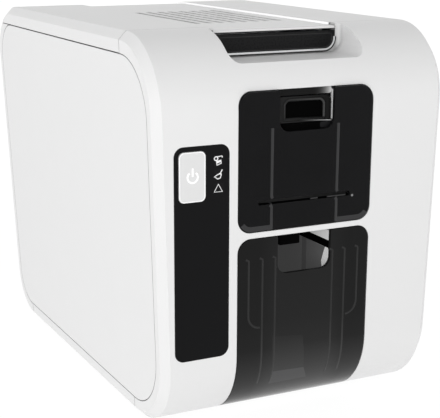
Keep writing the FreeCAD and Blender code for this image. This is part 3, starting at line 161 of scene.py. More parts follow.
class MarkLook(bpy.types.PropertyGroup):
    """Button symbol and the three small marks beside it."""
    ring: length("Radius of the button's ring symbol", 0.0035)
    line: length("Half the width of the button symbol's line", 0.00085)
    ring_right: length("From the button's middle to the symbol's", 0.00025)
    mark_left: length("From a light's middle to its mark's", 0.0006)
    light_pitch: length("From one light's middle to the next", 0.0087)
    # Painted highlight: the bright rim stands for light on the button's rounded edge
    rim_inset: length("From the button's edge to its bright rim", 0.00045)
    ring_gap: number("Half the gap at the ring's top, in degrees", 38.0)
    thin_line: length("Half the width of the small marks' lines", 0.00042)
    mark_size: length("Half the width of a small mark", 0.0029)
    mark_white: colour("Colour of the marks", (0.90, 0.90, 0.90))


class StageLook(bpy.types.PropertyGroup):
    """Floor, lamps and camera."""
    level: number("Strength of the light from the sides", 1.06)
    zenith: number("Strength of the light from above", 0.40)
    key: number("Power of the lamp on the front left, in watts", 12.8)
    fill: number("Power of the lamp on the front right, in watts", 2.0)
    floor_glow: share("How much of the floor's white is its own light", 0.93)
    floor_bounce: share("The same share for the light that the floor throws back", 0.52)
    focal: number("Camera lens in millimetres", 95.73)
    shift_right: number("Lens shift across", 0.0295)
    shift_up: number("Lens shift up", 0.0955)


GROUPS = {"casing_look": CasingLook, "door_look": DoorLook, "mark_look": MarkLook,
          "stage_look": StageLook}


# Nodes
def fill(tree, node, given):
    """Links a socket to each named input, or sets its value."""
    for word, value in given.items():
        if isinstance(value, bpy.types.NodeSocket):
            tree.links.new(value, node.inputs[word])
        else:
            node.inputs[word].default_value = value
    return node


def made(tree, kind, output, given, **settings):
    """An output of a new node with the given inputs and settings."""
    family = "Geometry" if tree.type == "GEOMETRY" else "Shader"
    node = tree.nodes.new(f"{family}Node{kind}")
    for word, value in settings.items():
        setattr(node, word, value)
    return fill(tree, node, given).outputs[output]


# Materials
class Finish:
    """A node-based material in the making."""

    def __init__(self, name):
        self.material = bpy.data.materials.new(name)
        self.material.use_nodes = True
        self.tree = self.material.node_tree
        self.shader = self.tree.nodes["Principled BSDF"]
        self.place = self.made("TexCoord", "Object", {})

    def made(self, kind, output, given, **settings):
        return made(self.tree, kind, output, given, **settings)

    def shade(self, given):
        """Sets or links inputs of the material's shader."""
        fill(self.tree, self.shader, given)

    def noise(self, scale, detail=3.0, stretch=(1, 1, 1)):
        place = self.made("Mapping", "Vector", {"Vector": self.place, "Scale": stretch})
        return self.made("TexNoise", "Fac", {"Vector": place, "Scale": scale, "Detail": detail})

    def between(self, factor, low, high):
        """A number that runs from low to high with a factor."""
        return self.made("MapRange", "Result", {"Value": factor, "To Min": low, "To Max": high})

    def mixed(self, factor, low, high, blend="MIX"):
        """A colour that runs from low to high with a factor."""
        given = {"Factor": factor, MIX_LOW: low, MIX_HIGH: high}
        return self.made("Mix", MIX_RESULT, given, data_type="RGBA", blend_type=blend)

    def multiplied(self, tint, factor):
        return self.mixed(1, tint, factor, "MULTIPLY")

    def painted_gap_shade(self, tint, reach, shade):
        """Painted shade: the colour, darker inside gaps narrower than the reach."""
        gap = self.made("AmbientOcclusion", "AO", {"Distance": reach}, samples=8)
        return self.multiplied(tint, self.between(gap, shade, 1))

    def math(self, operation, value, number=1.0):
        return self.made("Math", "Value", {0: value, 1: number}, operation=operation)

    def across(self, start, end, axis="X", mirrored=False):
        """0 to 1 from one place to another along an axis of the part."""
        along = self.made("SeparateXYZ", axis, {"Vector": self.place})
        if mirrored:
            along = self.math("ABSOLUTE", along)
        given = {"Value": along, "From Min": start, "From Max": end}
        return self.made("MapRange", "Result", given)

    def ramp(self, factor, stops, interpolation="LINEAR"):
        """The colour that a ramp gives for a factor."""
        tint = self.made("ValToRGB", "Color", {"Fac": factor})
        colours = tint.node.color_ramp
        colours.interpolation = interpolation
        while len(colours.elements) < len(stops):
            colours.elements.new(1)
        for element, (place, base) in zip(colours.elements, stops):
            element.position = place
            element.color = tinted(base)
        return tint

    def bump(self, height, strength, distance, edge=0):
        """Fine relief, with edges that look rounded where a radius is given."""
        given = {"Height": height, "Strength": strength, "Distance": distance}
        if edge:
            given["Normal"] = self.made("Bevel", "Normal", {"Radius": edge}, samples=6)
        self.shade({"Normal": self.made("Bump", "Normal", given)})

    def moulded(self, tint, rough, gloss):
        """Ends a door's material with its tint and a finely uneven surface."""
        self.shade({"Base Color": tint, "Specular IOR Level": gloss,
                    "Roughness": self.between(self.noise(900), rough - 0.03, rough + 0.03)})
        self.bump(self.noise(600, 2), 0.006, RELIEF)
        return self.material


def tinted(base, amount=1.0):
    """The base times an amount, as an opaque colour; a single number stands for a grey."""
    channels = (base,) * 3 if isinstance(base, float) else base
    return (*(min(1, channel * amount) for channel in channels), 1)


def plain_finish(name, base, rough, metal=0.0, grain=1500, depth=0.02, vary=0.06, gloss=0.5,
                 stretch=(1, 1, 1), edge=0.0, alpha=1.0, gaps=None, glow=0.0):
    """Moulded, sheet or turned material: colour, roughness and surface all vary a little."""
    finish = Finish(name)
    cloud = finish.noise(CLOUD_SCALE, 4)
    fine = finish.noise(grain, 2, stretch)
    tint = finish.mixed(cloud, tinted(base, 1 - vary), tinted(base, 1 + vary))
    # Painted shade: the colour darkens inside narrow gaps
    if gaps:
        tint = finish.painted_gap_shade(tint, *gaps)
    # A glow is painted light: the parts that have it are no lamps
    finish.shade({"Base Color": tint, "Metallic": metal, "Specular IOR Level": gloss,
                  "Roughness": finish.between(fine, max(0.02, rough - 0.05), rough + 0.05),
                  "Alpha": alpha, "Emission Color": WHITE, "Emission Strength": glow})
    finish.bump(fine, depth, RELIEF, edge)
    return finish.material


def board_finish(name):
    """Varnished circuit board: thin tracks under green varnish."""
    finish = Finish(name)
    turned = finish.made("Mapping", "Vector", {"Vector": finish.place,
                                               "Rotation": (0, math.radians(90), 0)})
    given = {"Vector": turned, "Scale": 160, "Mortar Size": 0.035,
             "Color1": (0.015, 0.10, 0.045, 1), "Color2": (0.018, 0.12, 0.055, 1),
             "Mortar": (0.05, 0.24, 0.10, 1)}
    tint = finish.made("TexBrick", "Color", given, offset=0.5)
    finish.shade({"Base Color": tint, "Roughness": 0.3})
    finish.bump(tint.node.outputs["Fac"], 0.1, 0.2 * MM)
    return finish.material


def ribbon_finish(name):
    """Printing film in coloured panels, wound and stretched."""
    finish = Finish(name)
    bands = finish.made("TexWave", "Fac", {"Vector": finish.place, "Scale": 14},
                        wave_type="BANDS", bands_direction="Z")
    panels = ((0.0, (0.55, 0.42, 0.02)), (0.25, (0.35, 0.02, 0.12)),
              (0.5, (0.01, 0.12, 0.32)), (0.75, (0.02, 0.02, 0.02)))
    finish.shade({"Base Color": finish.ramp(bands, panels, "CONSTANT"),
                  "Roughness": finish.between(finish.noise(300), 0.15, 0.3)})
    return finish.material


def fading_finish(name, first, last, start, end, axis="X", rough=0.3, gloss=0.2, power=1.0):
    """Moulded surface whose grey runs from one value to another along an axis."""
    finish = Finish(name)
    run = finish.math("POWER", finish.across(start, end, axis), power)
    return finish.moulded(finish.mixed(run, tinted(first), tinted(last)), rough, gloss)


def smoke_finish(name, greys, middle, side, painted_middle_light, rough, gloss):
    """Smoked plastic with painted light: its grey follows the height, and the middle is painted
    lighter, as if more light came through.
    """
    finish = Finish(name)
    low, high = greys[0][0], greys[-1][0]
    stops = [((height - low) / (high - low), grey) for height, grey in greys]
    tint = finish.ramp(finish.across(low, high, "Z"), stops)
    # Painted light: the door's middle is lighter than its sides
    through = finish.between(finish.across(side, middle, mirrored=True), 1, painted_middle_light)
    return finish.moulded(finish.multiplied(tint, through), rough, gloss)


def make_finishes(casing, doors, marks):
    """One material for each of the record's slots, and more for what is made here."""
    black = (0.02, 0.02, 0.021)
    foot = tinted(doors.smoke, 1.6)[:3]
    plain = (  # Name, colour, roughness and what differs from the usual
        ("white_casing", casing.white, 0.36,
         dict(grain=1 / casing.grain, depth=0.10, vary=0.008, gloss=0.42, edge=casing.edge,
              gaps=(casing.gap_reach, casing.gap_shade))),
        ("smoked_door", doors.smoke, 0.10, dict(vary=0.2, depth=0.004, gloss=0.07, alpha=0.95)),
        ("black_label", (0.0035, 0.0035, 0.004), 0.16, dict(vary=0.1, depth=0.01, gloss=0.10)),
        ("grey_button", 0.73, 0.35, dict(vary=0.01, depth=0.03, edge=0.0005)),
        ("clear_light", (0.004, 0.004, 0.0045), 0.2, dict(vary=0.1, depth=0.01, gloss=0.12)),
        ("black_bar", (0.006, 0.006, 0.0065), 0.28,
         dict(grain=900, vary=0.1, depth=0.03, gloss=0.12, edge=0.0008)),
        ("bright_trim", (0.86, 0.87, 0.88), 0.12, dict(metal=1.0, depth=0.01)),
        ("black_rubber", 0.018, 0.75, dict(grain=1200, depth=0.25, gloss=0.3)),
        ("tacky_rubber", (0.62, 0.60, 0.55), 0.5, dict(grain=900, depth=0.08)),
        ("steel_sheet", (0.60, 0.61, 0.62), 0.34,
         dict(metal=1.0, grain=700, stretch=(1, 0.06, 1), depth=0.06)),
        ("steel_bar", (0.64, 0.65, 0.66), 0.22,
         dict(metal=1.0, grain=900, stretch=(0.08, 1, 1), depth=0.04)),
        ("grey_plastic", (0.33, 0.34, 0.35), 0.5, dict(depth=0.1)),
        ("black_plastic", black, 0.45, dict(depth=0.1)),
        ("pale_gear", (0.74, 0.71, 0.62), 0.4, dict(depth=0.05)),
        ("motor_can", (0.52, 0.53, 0.55), 0.32,
         dict(metal=1.0, grain=600, stretch=(0.1, 1, 1), depth=0.05)),
        ("head_metal", (0.46, 0.46, 0.48), 0.36, dict(metal=1.0, grain=800, depth=0.05)),
        ("board_black", black, 0.55, dict(depth=0.08)),
        ("door_rib", doors.rib_grey, 0.25, dict(vary=0.1, depth=0.01, gloss=0.2)),
        ("door_step", doors.step_grey, 0.2, dict(vary=0.15, depth=0.01, gloss=0.1)),
        ("door_patch", doors.patch_grey, 0.12, dict(vary=0.05, depth=0.004, gloss=0.10)),
        ("well_foot", foot, 0.3, dict(vary=0.1, depth=0.01, gloss=0.05)),
        ("mark_white", marks.mark_white, 0.4, dict(vary=0.02)),
        # The symbol's white is its print; its glow is painted light
        ("symbol_white_glow", 0.95, 0.4, dict(vary=0.01, glow=0.12)),
        # Painted shade: near-black, dull pieces put where holes and gaps lie in shadow
        ("painted_shade_black", 0.0012, 0.9, dict(vary=0.2, depth=0.05, gloss=0.02)),
        ("door_glint", 0.60, 0.2, dict(vary=0.05, depth=0.01)),
        # Painted highlight: a grey dot for a glint at the slot's end
        ("slot_pin", 0.18, 0.3, dict(vary=0.05, depth=0.01)),
        # Painted light: the glow of these three bin pieces, on top of their own greys
        ("bin_liner", 0.10, 0.5, dict(depth=0.05, gloss=0.2, glow=0.038)),
        ("bin_joint", 0.06, 0.5, dict(depth=0.05, gloss=0.1, glow=0.029)),
        ("bin_cheek", 0.80, 0.45, dict(vary=0.02, depth=0.05, glow=0.25)),
        # Painted highlight along the channel's edge, with a glow
        ("painted_step_highlight", 0.93, 0.4, dict(vary=0.01, glow=0.30)),
        # Painted highlight round the power button's edge, with a glow
        ("painted_rim_highlight", 0.93, 0.4, dict(vary=0.01, glow=0.06)),
    )
    fading = (  # Name and what fading_finish takes
        ("fine_rib", doors.fine_low, doors.fine_grey, 0.020, 0.070, "Z", 0.25, 0.15),
        ("faint_patch", 0.052, 0.022, 0.038, 0.061, "Z", 0.12, 0.10),
        # Painted light and shade in the finger well: the plate darker to the right, the shelf lit
        # at its right end, the ledge and ridge lighter to the right
        ("door_well", 0.013, 0.003, -0.021, 0.017, "X", 0.3, 0.10),
        ("well_shelf", 0.004, 0.85, 0.0, 0.020, "X", 0.4, 0.10, 5.5),
        ("well_ledge", 0.004, 0.60, -0.006, 0.019, "X", 0.3, 0.10, 1.6),
        ("well_ridge", 0.012, 0.045, -0.016, 0.016),
    )
    # Heights on the lower door and the greys painted there: what shows through, with painted light
    # where the door curves under
    painted_height_greys = ((0.003, 0.002), (0.009, 0.022), (0.016, 0.050), (0.030, 0.037),
                    (0.056, 0.0125), (0.075, 0.0090), (0.127, 0.0075))
    finishes.update(
        lower_smoke=smoke_finish("lower_smoke", painted_height_greys, 0.020, 0.034, 1.55, 0.10, 0.10),
        ribbon=ribbon_finish("ribbon"), green_board=board_finish("green_board"))
    finishes.update((name, plain_finish(name, base, rough, **more))
                    for name, base, rough, more in plain)
    finishes.update((name, fading_finish(name, *values)) for name, *values in fading)


# Mesh helpers
def linked(name, data):
    """A new object in the scene."""
    item = bpy.data.objects.new(name, data)
    bpy.context.scene.collection.objects.link(item)
    return item


def shown(name, mesh, finish, where, *replaced):
    """Puts a finished mesh in the scene as a piece of its body; the slot given with the body is
    not used.
    """
    body, slot = where
    mesh.name = name
    if finish:
        mesh.materials.clear()
        mesh.materials.append(finishes[finish])
    piece = linked(name, mesh)
    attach(piece, body)
    if replaced:
        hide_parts(*replaced)


def mesh_from(bm, name, sharp=40):
    """The mesh, smooth but for edges sharper than an angle in degrees."""
    bmesh.ops.recalc_face_normals(bm, faces=bm.faces)
    mesh = bpy.data.meshes.new(name)
    bm.to_mesh(mesh)
    bm.free()
    mesh.shade_smooth()
    mesh.set_sharp_from_angle(angle=math.radians(sharp))
    return mesh


def mesh_of(name, verts, edges=()):
    mesh = bpy.data.meshes.new(name)
    mesh.from_pydata([tuple(vert) for vert in verts], edges, [])
    return mesh


def baked(carrier):
    """The object's mesh with its modifiers applied; the object itself goes."""
    depsgraph = bpy.context.evaluated_depsgraph_get()
    mesh = bpy.data.meshes.new_from_object(carrier.evaluated_get(depsgraph))
    bpy.data.objects.remove(carrier)
    return mesh


def modified(mesh, name, kind, **settings):
    """The mesh with one modifier applied."""
    carrier = linked(name, mesh)
    modifier = carrier.modifiers.new(name, kind)
    for word, value in settings.items():
        setattr(modifier, word, value)
    return baked(carrier)


def weighted(bm, name):
    """The mesh with normals that keep its flat faces flat."""
    return modified(mesh_from(bm, name), name, "WEIGHTED_NORMAL", keep_sharp=True)


def in_mm(points):
    return [tuple(value * MM for value in point) for point in points]


def arc_points(centre, radius, start, end, count):
    """Points on an arc in a flat drawing, angles in degrees."""
    for index in range(count + 1):
        angle = math.radians(start + (end - start) * index / count)
        yield (centre[0] + radius * math.cos(angle), centre[1] + radius * math.sin(angle))


def rounded_outline(corners, steps=7):
    """A closed outline from (x, z, radius) corners; each arc touches both of its sides."""
    points = []
    for index, (x, z, radius) in enumerate(corners):
        if radius == 0:
            points.append((x, z))
            continue
        here = Vector((x, z))
        before = (Vector(corners[index - 1][:2]) - here).normalized()
        after = (Vector(corners[(index + 1) % len(corners)][:2]) - here).normalized()
        half = before.angle(after) / 2
        middle = here + (before + after).normalized() * radius / math.sin(half)
        first = here + before * radius / math.tan(half)
        last = here + after * radius / math.tan(half)
        start = math.atan2(first.y - middle.y, first.x - middle.x)
        turn = math.atan2(last.y - middle.y, last.x - middle.x) - start
        sweep = (turn + math.pi) % math.tau - math.pi
        for step in range(steps + 1):
            angle = start + sweep * step / steps
            points.append((middle.x + radius * math.cos(angle),
                           middle.y + radius * math.sin(angle)))
    return points


def rectangle(left, right, low, high, radius=0, upper=None, steps=7):
    """A rectangle with rounded corners; upper is the radius of the upper two, if it differs."""
    upper = radius if upper is None else upper
    return rounded_outline([(left, low, radius), (right, low, radius),
                            (right, high, upper), (left, high, upper)], steps)


def rectangle_in_mm(*sides):
    return rectangle(*(value * MM for value in sides))


def offset_outline(points, distance):
    """The outline moved to its left by a distance, for a rounded edge."""
    moved = []
    for index, point in enumerate(points):
        here = Vector(point)
        before = (here - Vector(points[index - 1])).normalized()
        after = (Vector(points[(index + 1) % len(points)]) - here).normalized()
        normal = Vector((-before.y - after.y, before.x + after.x)).normalized()
        stretch = max(0.5, normal.dot(Vector((-before.y, before.x))))
        moved.append(tuple(here + normal * distance / stretch))
    return moved


def turned_left(points):
    """The same outline, drawn anticlockwise."""
    area = sum(a[0] * b[1] - b[0] * a[1] for a, b in zip(points, points[1:] + points[:1]))
    return points if area > 0 else points[::-1]


def walled(bm, rings):
    """Joins each closed ring of points to the next with faces."""
    for near, far in zip(rings, rings[1:]):
        for index in range(len(near)):
            after = (index + 1) % len(near)
            bm.faces.new((near[index], near[after], far[after], far[index]))


def slab(outer, holes, thick, edge, place, cuts=()):
    """A plate with rounded edges. place(x, z, depth) says where a drawn point goes."""
    bm = bmesh.new()
    nook = edge * 0.3
    layers = ((0, edge), (nook, nook), (edge, 0), (thick - edge, 0), (thick - nook, nook),
              (thick, edge))
    rims = ([], [])
    for loop in [turned_left(outer)] + [turned_left(hole)[::-1] for hole in holes]:
        rings = [[bm.verts.new((x, z, depth)) for x, z in offset_outline(loop, inset)]
                 for depth, inset in layers]
        walled(bm, rings)
        for rim, ring in zip(rims, (rings[0], rings[-1])):
            rim.extend(bm.edges.get(pair) for pair in zip(ring, ring[1:] + ring[:1]))
    for edges in rims:
        bmesh.ops.triangle_fill(bm, edges=edges, use_beauty=True, normal=(0, 0, 1))
    for level in cuts:
        bmesh.ops.bisect_plane(bm, geom=bm.verts[:] + bm.edges[:] + bm.faces[:],
                               plane_co=(0, level, 0), plane_no=(0, 1, 0))
    for vert in bm.verts:
        vert.co = place(*vert.co)
    return bm


# Geometry Nodes trees
def new_tree(name, **sockets):
    """A tree with named inputs and one geometry output, and the sockets of its inputs."""
    tree = bpy.data.node_groups.new(name, "GeometryNodeTree")
    tree.interface.new_socket("Geometry", in_out="OUTPUT", socket_type="NodeSocketGeometry")
    for word, kind in {**sockets, "Material": "Material"}.items():
        tree.interface.new_socket(word, in_out="INPUT", socket_type=f"NodeSocket{kind}")
    return tree, tree.nodes.new("NodeGroupInput").outputs


def closed_with(tree, given, geometry):
    """Ends a tree: smooth faces, real copies, one material."""
    for kind in ("SetShadeSmooth", "RealizeInstances", "SetMaterial"):
        geometry = made(tree, kind, "Geometry", {"Geometry": geometry})
    fill(tree, geometry.node, {"Material": given["Material"]})
    fill(tree, tree.nodes.new("NodeGroupOutput"), {"Geometry": geometry})
    return tree


def bead_tree():
    """A round bead along the edges of a mesh."""
    tree, given = new_tree("bead_along_path", Path="Geometry", Radius="Float", Sides="Int")
    curve = made(tree, "MeshToCurve", "Curve", {"Mesh": given["Path"]})
    ring = made(tree, "CurvePrimitiveCircle", "Curve",
                {"Radius": given["Radius"], "Resolution": given["Sides"]})
    return closed_with(tree, given, made(tree, "CurveToMesh", "Mesh", {
        "Curve": curve, "Profile Curve": ring, "Fill Caps": True}))


def row_tree():
    """Copies of a shape in a straight row."""
    tree, given = new_tree("copies_in_a_row", Shape="Geometry", Count="Int", Step="Vector")
    line = made(tree, "MeshLine", "Mesh", {"Count": given["Count"], "Offset": given["Step"]})
    return closed_with(tree, given, made(tree, "InstanceOnPoints", "Instances", {
        "Points": line, "Instance": given["Shape"]}))


def spot_tree():
    """Copies of a shape at each point of a mesh."""
    tree, given = new_tree("copies_at_spots", Spots="Geometry", Shape="Object")
    shape = made(tree, "ObjectInfo", "Geometry", {"Object": given["Shape"]})
    return closed_with(tree, given, made(tree, "InstanceOnPoints", "Instances", {
        "Points": given["Spots"], "Instance": shape}))


def grown_by(word, mesh, name, finish, **values):
    """Runs a tree on a mesh and gives back the plain result."""
    tree = trees[word]
    values["material"] = finishes[finish]
    carrier = linked(name, mesh)
    modifier = carrier.modifiers.new(tree.name, "NODES")
    modifier.node_group = tree
    for item in tree.interface.items_tree:
        if item.in_out == "INPUT" and item.name.lower() in values:
            modifier[item.identifier] = values[item.name.lower()]
    return baked(carrier)


def paths_mesh(paths, name):
    """Open paths of points as loose edges; a path whose ends meet is closed."""
    verts, edges = [], []
    for path in paths:
        first = len(verts)
        closed = (Vector(path[0]) - Vector(path[-1])).length < 1e-7
        points = path[:-1] if closed else path
        verts += points
        edges += [(first + index, first + index + 1) for index in range(len(points) - 1)]
        if closed:
            edges.append((first + len(points) - 1, first))
    return mesh_of(name, verts, edges)


# Where a point of a flat drawing goes
def on_front(x, z, depth):
    return Vector((x, DOOR_SPOT + depth, z))


def on_lower_door(x, z, depth):
    """Below the bend's height, z counts along the curve."""
    look = bpy.context.scene.door_look
    if z >= look.bend_height:
        return on_front(x, z, depth)
    angle = (look.bend_height - z) / look.bend_radius
    reach = look.bend_radius - depth
    return Vector((x, DOOR_SPOT + look.bend_radius - reach * math.cos(angle),
                   look.bend_height - reach * math.sin(angle)))


def on_bin_wall(deep, high, out):
    return Vector((BIN_WALL - out, deep, high))


def laid(points, depth, place=on_front):
    return [place(x, z, depth) for x, z in points]


def patch(name, points, thick, depth, finish, where, place=on_front, cuts=()):
    """A thin plate with a hair-thin rounded edge, laid in a door or on a wall."""
    edge = min(0.3 * MM, thick / 4)
    bm = slab(points, [], thick, edge, lambda x, z, deep: place(x, z, deep + depth), cuts)
    shown(name, weighted(bm, name), finish, where)


def beads(name, paths, radius, sides, finish, where):
    """Ribs or drawn lines as one piece of round beads."""
    mesh = grown_by("bead", paths_mesh(paths, name), name, finish, radius=radius, sides=sides)
    shown(name, mesh, None, where)


def upright(points, y):
    """A flat drawing that stands across the printer at a given y."""
    return [Vector((x, y, z)) for x, z in points]


def door_outline(look, low, top, notch, low_corner):
    """A door seen flat: rounded corners and a finger notch in its top edge."""
    half, side, lip = look.half_wide, look.notch_half, look.notch_lip
    return rounded_outline([
        (-half, low, low_corner), (half, low, low_corner), (half, top, look.corner),
        (side, top, lip), (side, top - notch, look.notch_round),
        (-side, top - notch, look.notch_round), (-side, top, lip), (-half, top, look.corner)])


def straight(x, high, low, pieces):
    """An upright line of a flat drawing, in equal pieces."""
    return [(x, high + (low - high) * index / pieces) for index in range(pieces + 1)]


def add_studs(bm, height, back):
    """The two short studs that a door turns on."""
    long, middle = STUD_END - STUD_START, (STUD_START + STUD_END) / 2
    for side in (-1, 1):
        turn = Matrix.Translation((side * middle, back, height))
        bmesh.ops.create_cone(bm, cap_ends=True, segments=20, radius1=STUD_RADIUS,
                              radius2=STUD_RADIUS, depth=long,
                              matrix=turn @ Matrix.Rotation(math.pi / 2, 4, "Y"))


# Operators, one for each piece or group of like pieces
class Step:
    """What the operators share: each builds its own part of the scene."""

    def execute(self, context):
        self.build(context.scene)
        return {"FINISHED"}


class CARDPRINTER_OT_materials(Step, bpy.types.Operator):
    """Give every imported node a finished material"""
    bl_idname = "card_printer.materials"
    bl_label = "Finish the packed nodes"

    def build(self, scene):
        make_finishes(scene.casing_look, scene.door_look, scene.mark_look)
        for item in frame["record"]["subparts"]:
            for slot in frame["nodes"][item["node"]].material_slots:
                slot.link = "OBJECT"
                slot.material = finishes[item["material_slot"]]


class CARDPRINTER_OT_trees(Step, bpy.types.Operator):
    """Build the trees that make ribs, rows and screws"""
    bl_idname = "card_printer.trees"
    bl_label = "Build the trees"

    def build(self, scene):
        trees.update(bead=bead_tree(), row=row_tree(), spot=spot_tree())


class CARDPRINTER_OT_upper_door(Step, bpy.types.Operator):
    """Build the smoked upper door with its notch, hand-feed slot and ribs"""
    bl_idname = "card_printer.upper_door"
    bl_label = "Upper door"

    def build(self, scene):
        look = scene.door_look
        low, top = UPPER_DOOR[0].z, UPPER_DOOR[1].z
        middle, half = look.slot_middle, look.slot_half
        outline = door_outline(look, low, top, look.upper_notch, look.corner)
        slot = rectangle(look.slot_left, look.slot_right, middle - half, middle + half,
                         half * 0.9, steps=3)
        bm = slab(outline, [slot], look.thick, look.edge, on_front)
        add_studs(bm, *UPPER_PIVOT)
        shown("smoked_upper_door", weighted(bm, "upper_door"), "smoked_door", UPPER,
              "upper_door")
        ribs = []
        for x in (look.rib_left, look.rib_right):
            over = [(x, 204 * MM), (x, middle + 3.4 * MM), (x + 0.7 * MM, middle + 2.3 * MM)]
            under = [(x - 1.2 * MM, middle - 1.9 * MM), (x, middle - 3.2 * MM),
                     (x, low + 0.6 * MM)]
            ribs += [laid(line, look.rib_sunk) for line in (over, under)]
        beads("upper_door_ribs", ribs, look.rib_radius, look.rib_sides, "door_rib", UPPER)
        self.steps(look, low)
        self.slot_parts(look)

    def steps(self, look, low):
        """The lighter step along the door's lower edge, outside the ribs."""
        high, wide, edge = 3.7 * MM, 0.4 * MM, 0.3 * MM
        for name, side, inner, turn in (("door_step_left", -1, look.rib_left, (212, 270)),
                                        ("door_step_right", 1, look.rib_right, (-32, -90))):
            middle = (side * (look.half_wide - look.corner), low + look.corner)
            lower = list(arc_points(middle, look.corner - edge, *turn, 10))
            upper = list(arc_points(middle, look.corner - high, *turn, 10))
            points = lower + [(inner, low + edge), (inner, low + high)] + upper[::-1]
            patch(name, points, wide, -look.skin, "door_step", UPPER)

    def slot_parts(self, look):
        """Dark pieces that paint the shade inside the hand-feed slot, and what glints in it."""
        middle, half, tall = look.slot_middle, look.slot_half, 1.3 * MM
        left, right = look.slot_left, look.slot_right
        # Painted shade: near-black strips behind the slot's edges
        for side, name in ((-1, "slot_guide_low"), (1, "slot_guide_high")):
            near, far = sorted((middle + side * half, middle + side * (half + tall)))
            patch(name, rectangle(left - tall, right + tall, near, far), 2.1 * MM, look.thick,
                  "painted_shade_black", UPPER)
        # Painted shade: a near-black strip on the slot's lower wall
        patch("slot_lining", rectangle(left + half, right - half, 0.3 * MM, 2.9 * MM),
              0.12 * MM, -0.02 * MM, "painted_shade_black", UPPER,
              lambda x, deep, out: on_front(x, middle - half + out, deep))
        # Painted shade: a black rubber sheet across the slot, behind the door
        patch("slot_flap", rectangle(left, right, middle - half, middle + half * 1.2),
              0.4 * MM, look.thick + 1.7 * MM, "black_rubber", UPPER)
        height = middle - half * 0.5
        glints = [laid([(start * MM, height), (end * MM, height)], 0.45 * MM)
                  for start, end in ((3.6, 9.0), (16.5, 30.5))]
        beads("slot_glints", glints, 0.5 * MM, 10, "door_rib", UPPER)
        # Painted highlight: a small grey dot stands for a glint at the slot's right end
        glint_dot = list(arc_points((35.7 * MM, 154.4 * MM), 0.9 * MM, 0, 345, 23))
        patch("slot_pin", glint_dot, 0.6 * MM, -0.2 * MM, "slot_pin", UPPER)


class CARDPRINTER_OT_lower_door(Step, bpy.types.Operator):
    """Build the smoked lower door, curved under, with its notch, ribs and two lighter patches"""
    bl_idname = "card_printer.lower_door"
    bl_label = "Lower door"

    def build(self, scene):
        look = scene.door_look
        bent = look.bend_radius * math.radians(look.bend_degrees)
        low, top = look.bend_height - bent, LOWER_DOOR[1].z
        outline = door_outline(look, low, top, look.lower_notch, look.edge * 2)
        facets = 36
        cuts = [look.bend_height - (look.bend_height - low) * index / facets
                for index in range(facets)]
        bm = slab(outline, [], look.thick, look.edge, on_lower_door, cuts)
        add_studs(bm, *LOWER_PIVOT)
        shown("smoked_lower_door", weighted(bm, "lower_door"), "lower_smoke", LOWER,
              "lower_door")
        high, knee, end = 118 * MM, 80 * MM, 28 * MM
        lines = [straight(side * x * MM, high, end, 60) for side in (-1, 1)
                 for x in (21.8, 31.4)]
        for side, start, stop in ((-1, 180, 270), (1, 0, -90)):
            bend = list(arc_points((side * 33 * MM, knee), 8.6 * MM, start, stop, 10))
            lines.append(straight(side * 41.6 * MM, high, knee, 8) + bend[1:])
        hook = (-2.4 * MM, 1.3 * MM)
        ribs = [laid([(line[0][0] + hook[0], line[0][1] + hook[1])] + line, look.fine_sunk,
                     on_lower_door) for line in lines]
        beads("lower_door_ribs", ribs, look.fine_radius, look.rib_sides, "fine_rib", LOWER)
        pane = in_mm([(-22.2, 37.1), (-21.8, 25.4), (7.9, 25.6), (3.1, 36.1)])
        haze = in_mm([(-23.5, 63.5), (-22.2, 37.5), (2.8, 36.5), (0.1, 61.2)])
        for name, points, finish in (("door_pane", pane, "door_patch"),
                                     ("door_haze", haze, "faint_patch")):
            patch(name, points, look.skin * 8, -look.skin, finish, LOWER, on_lower_door, cuts)


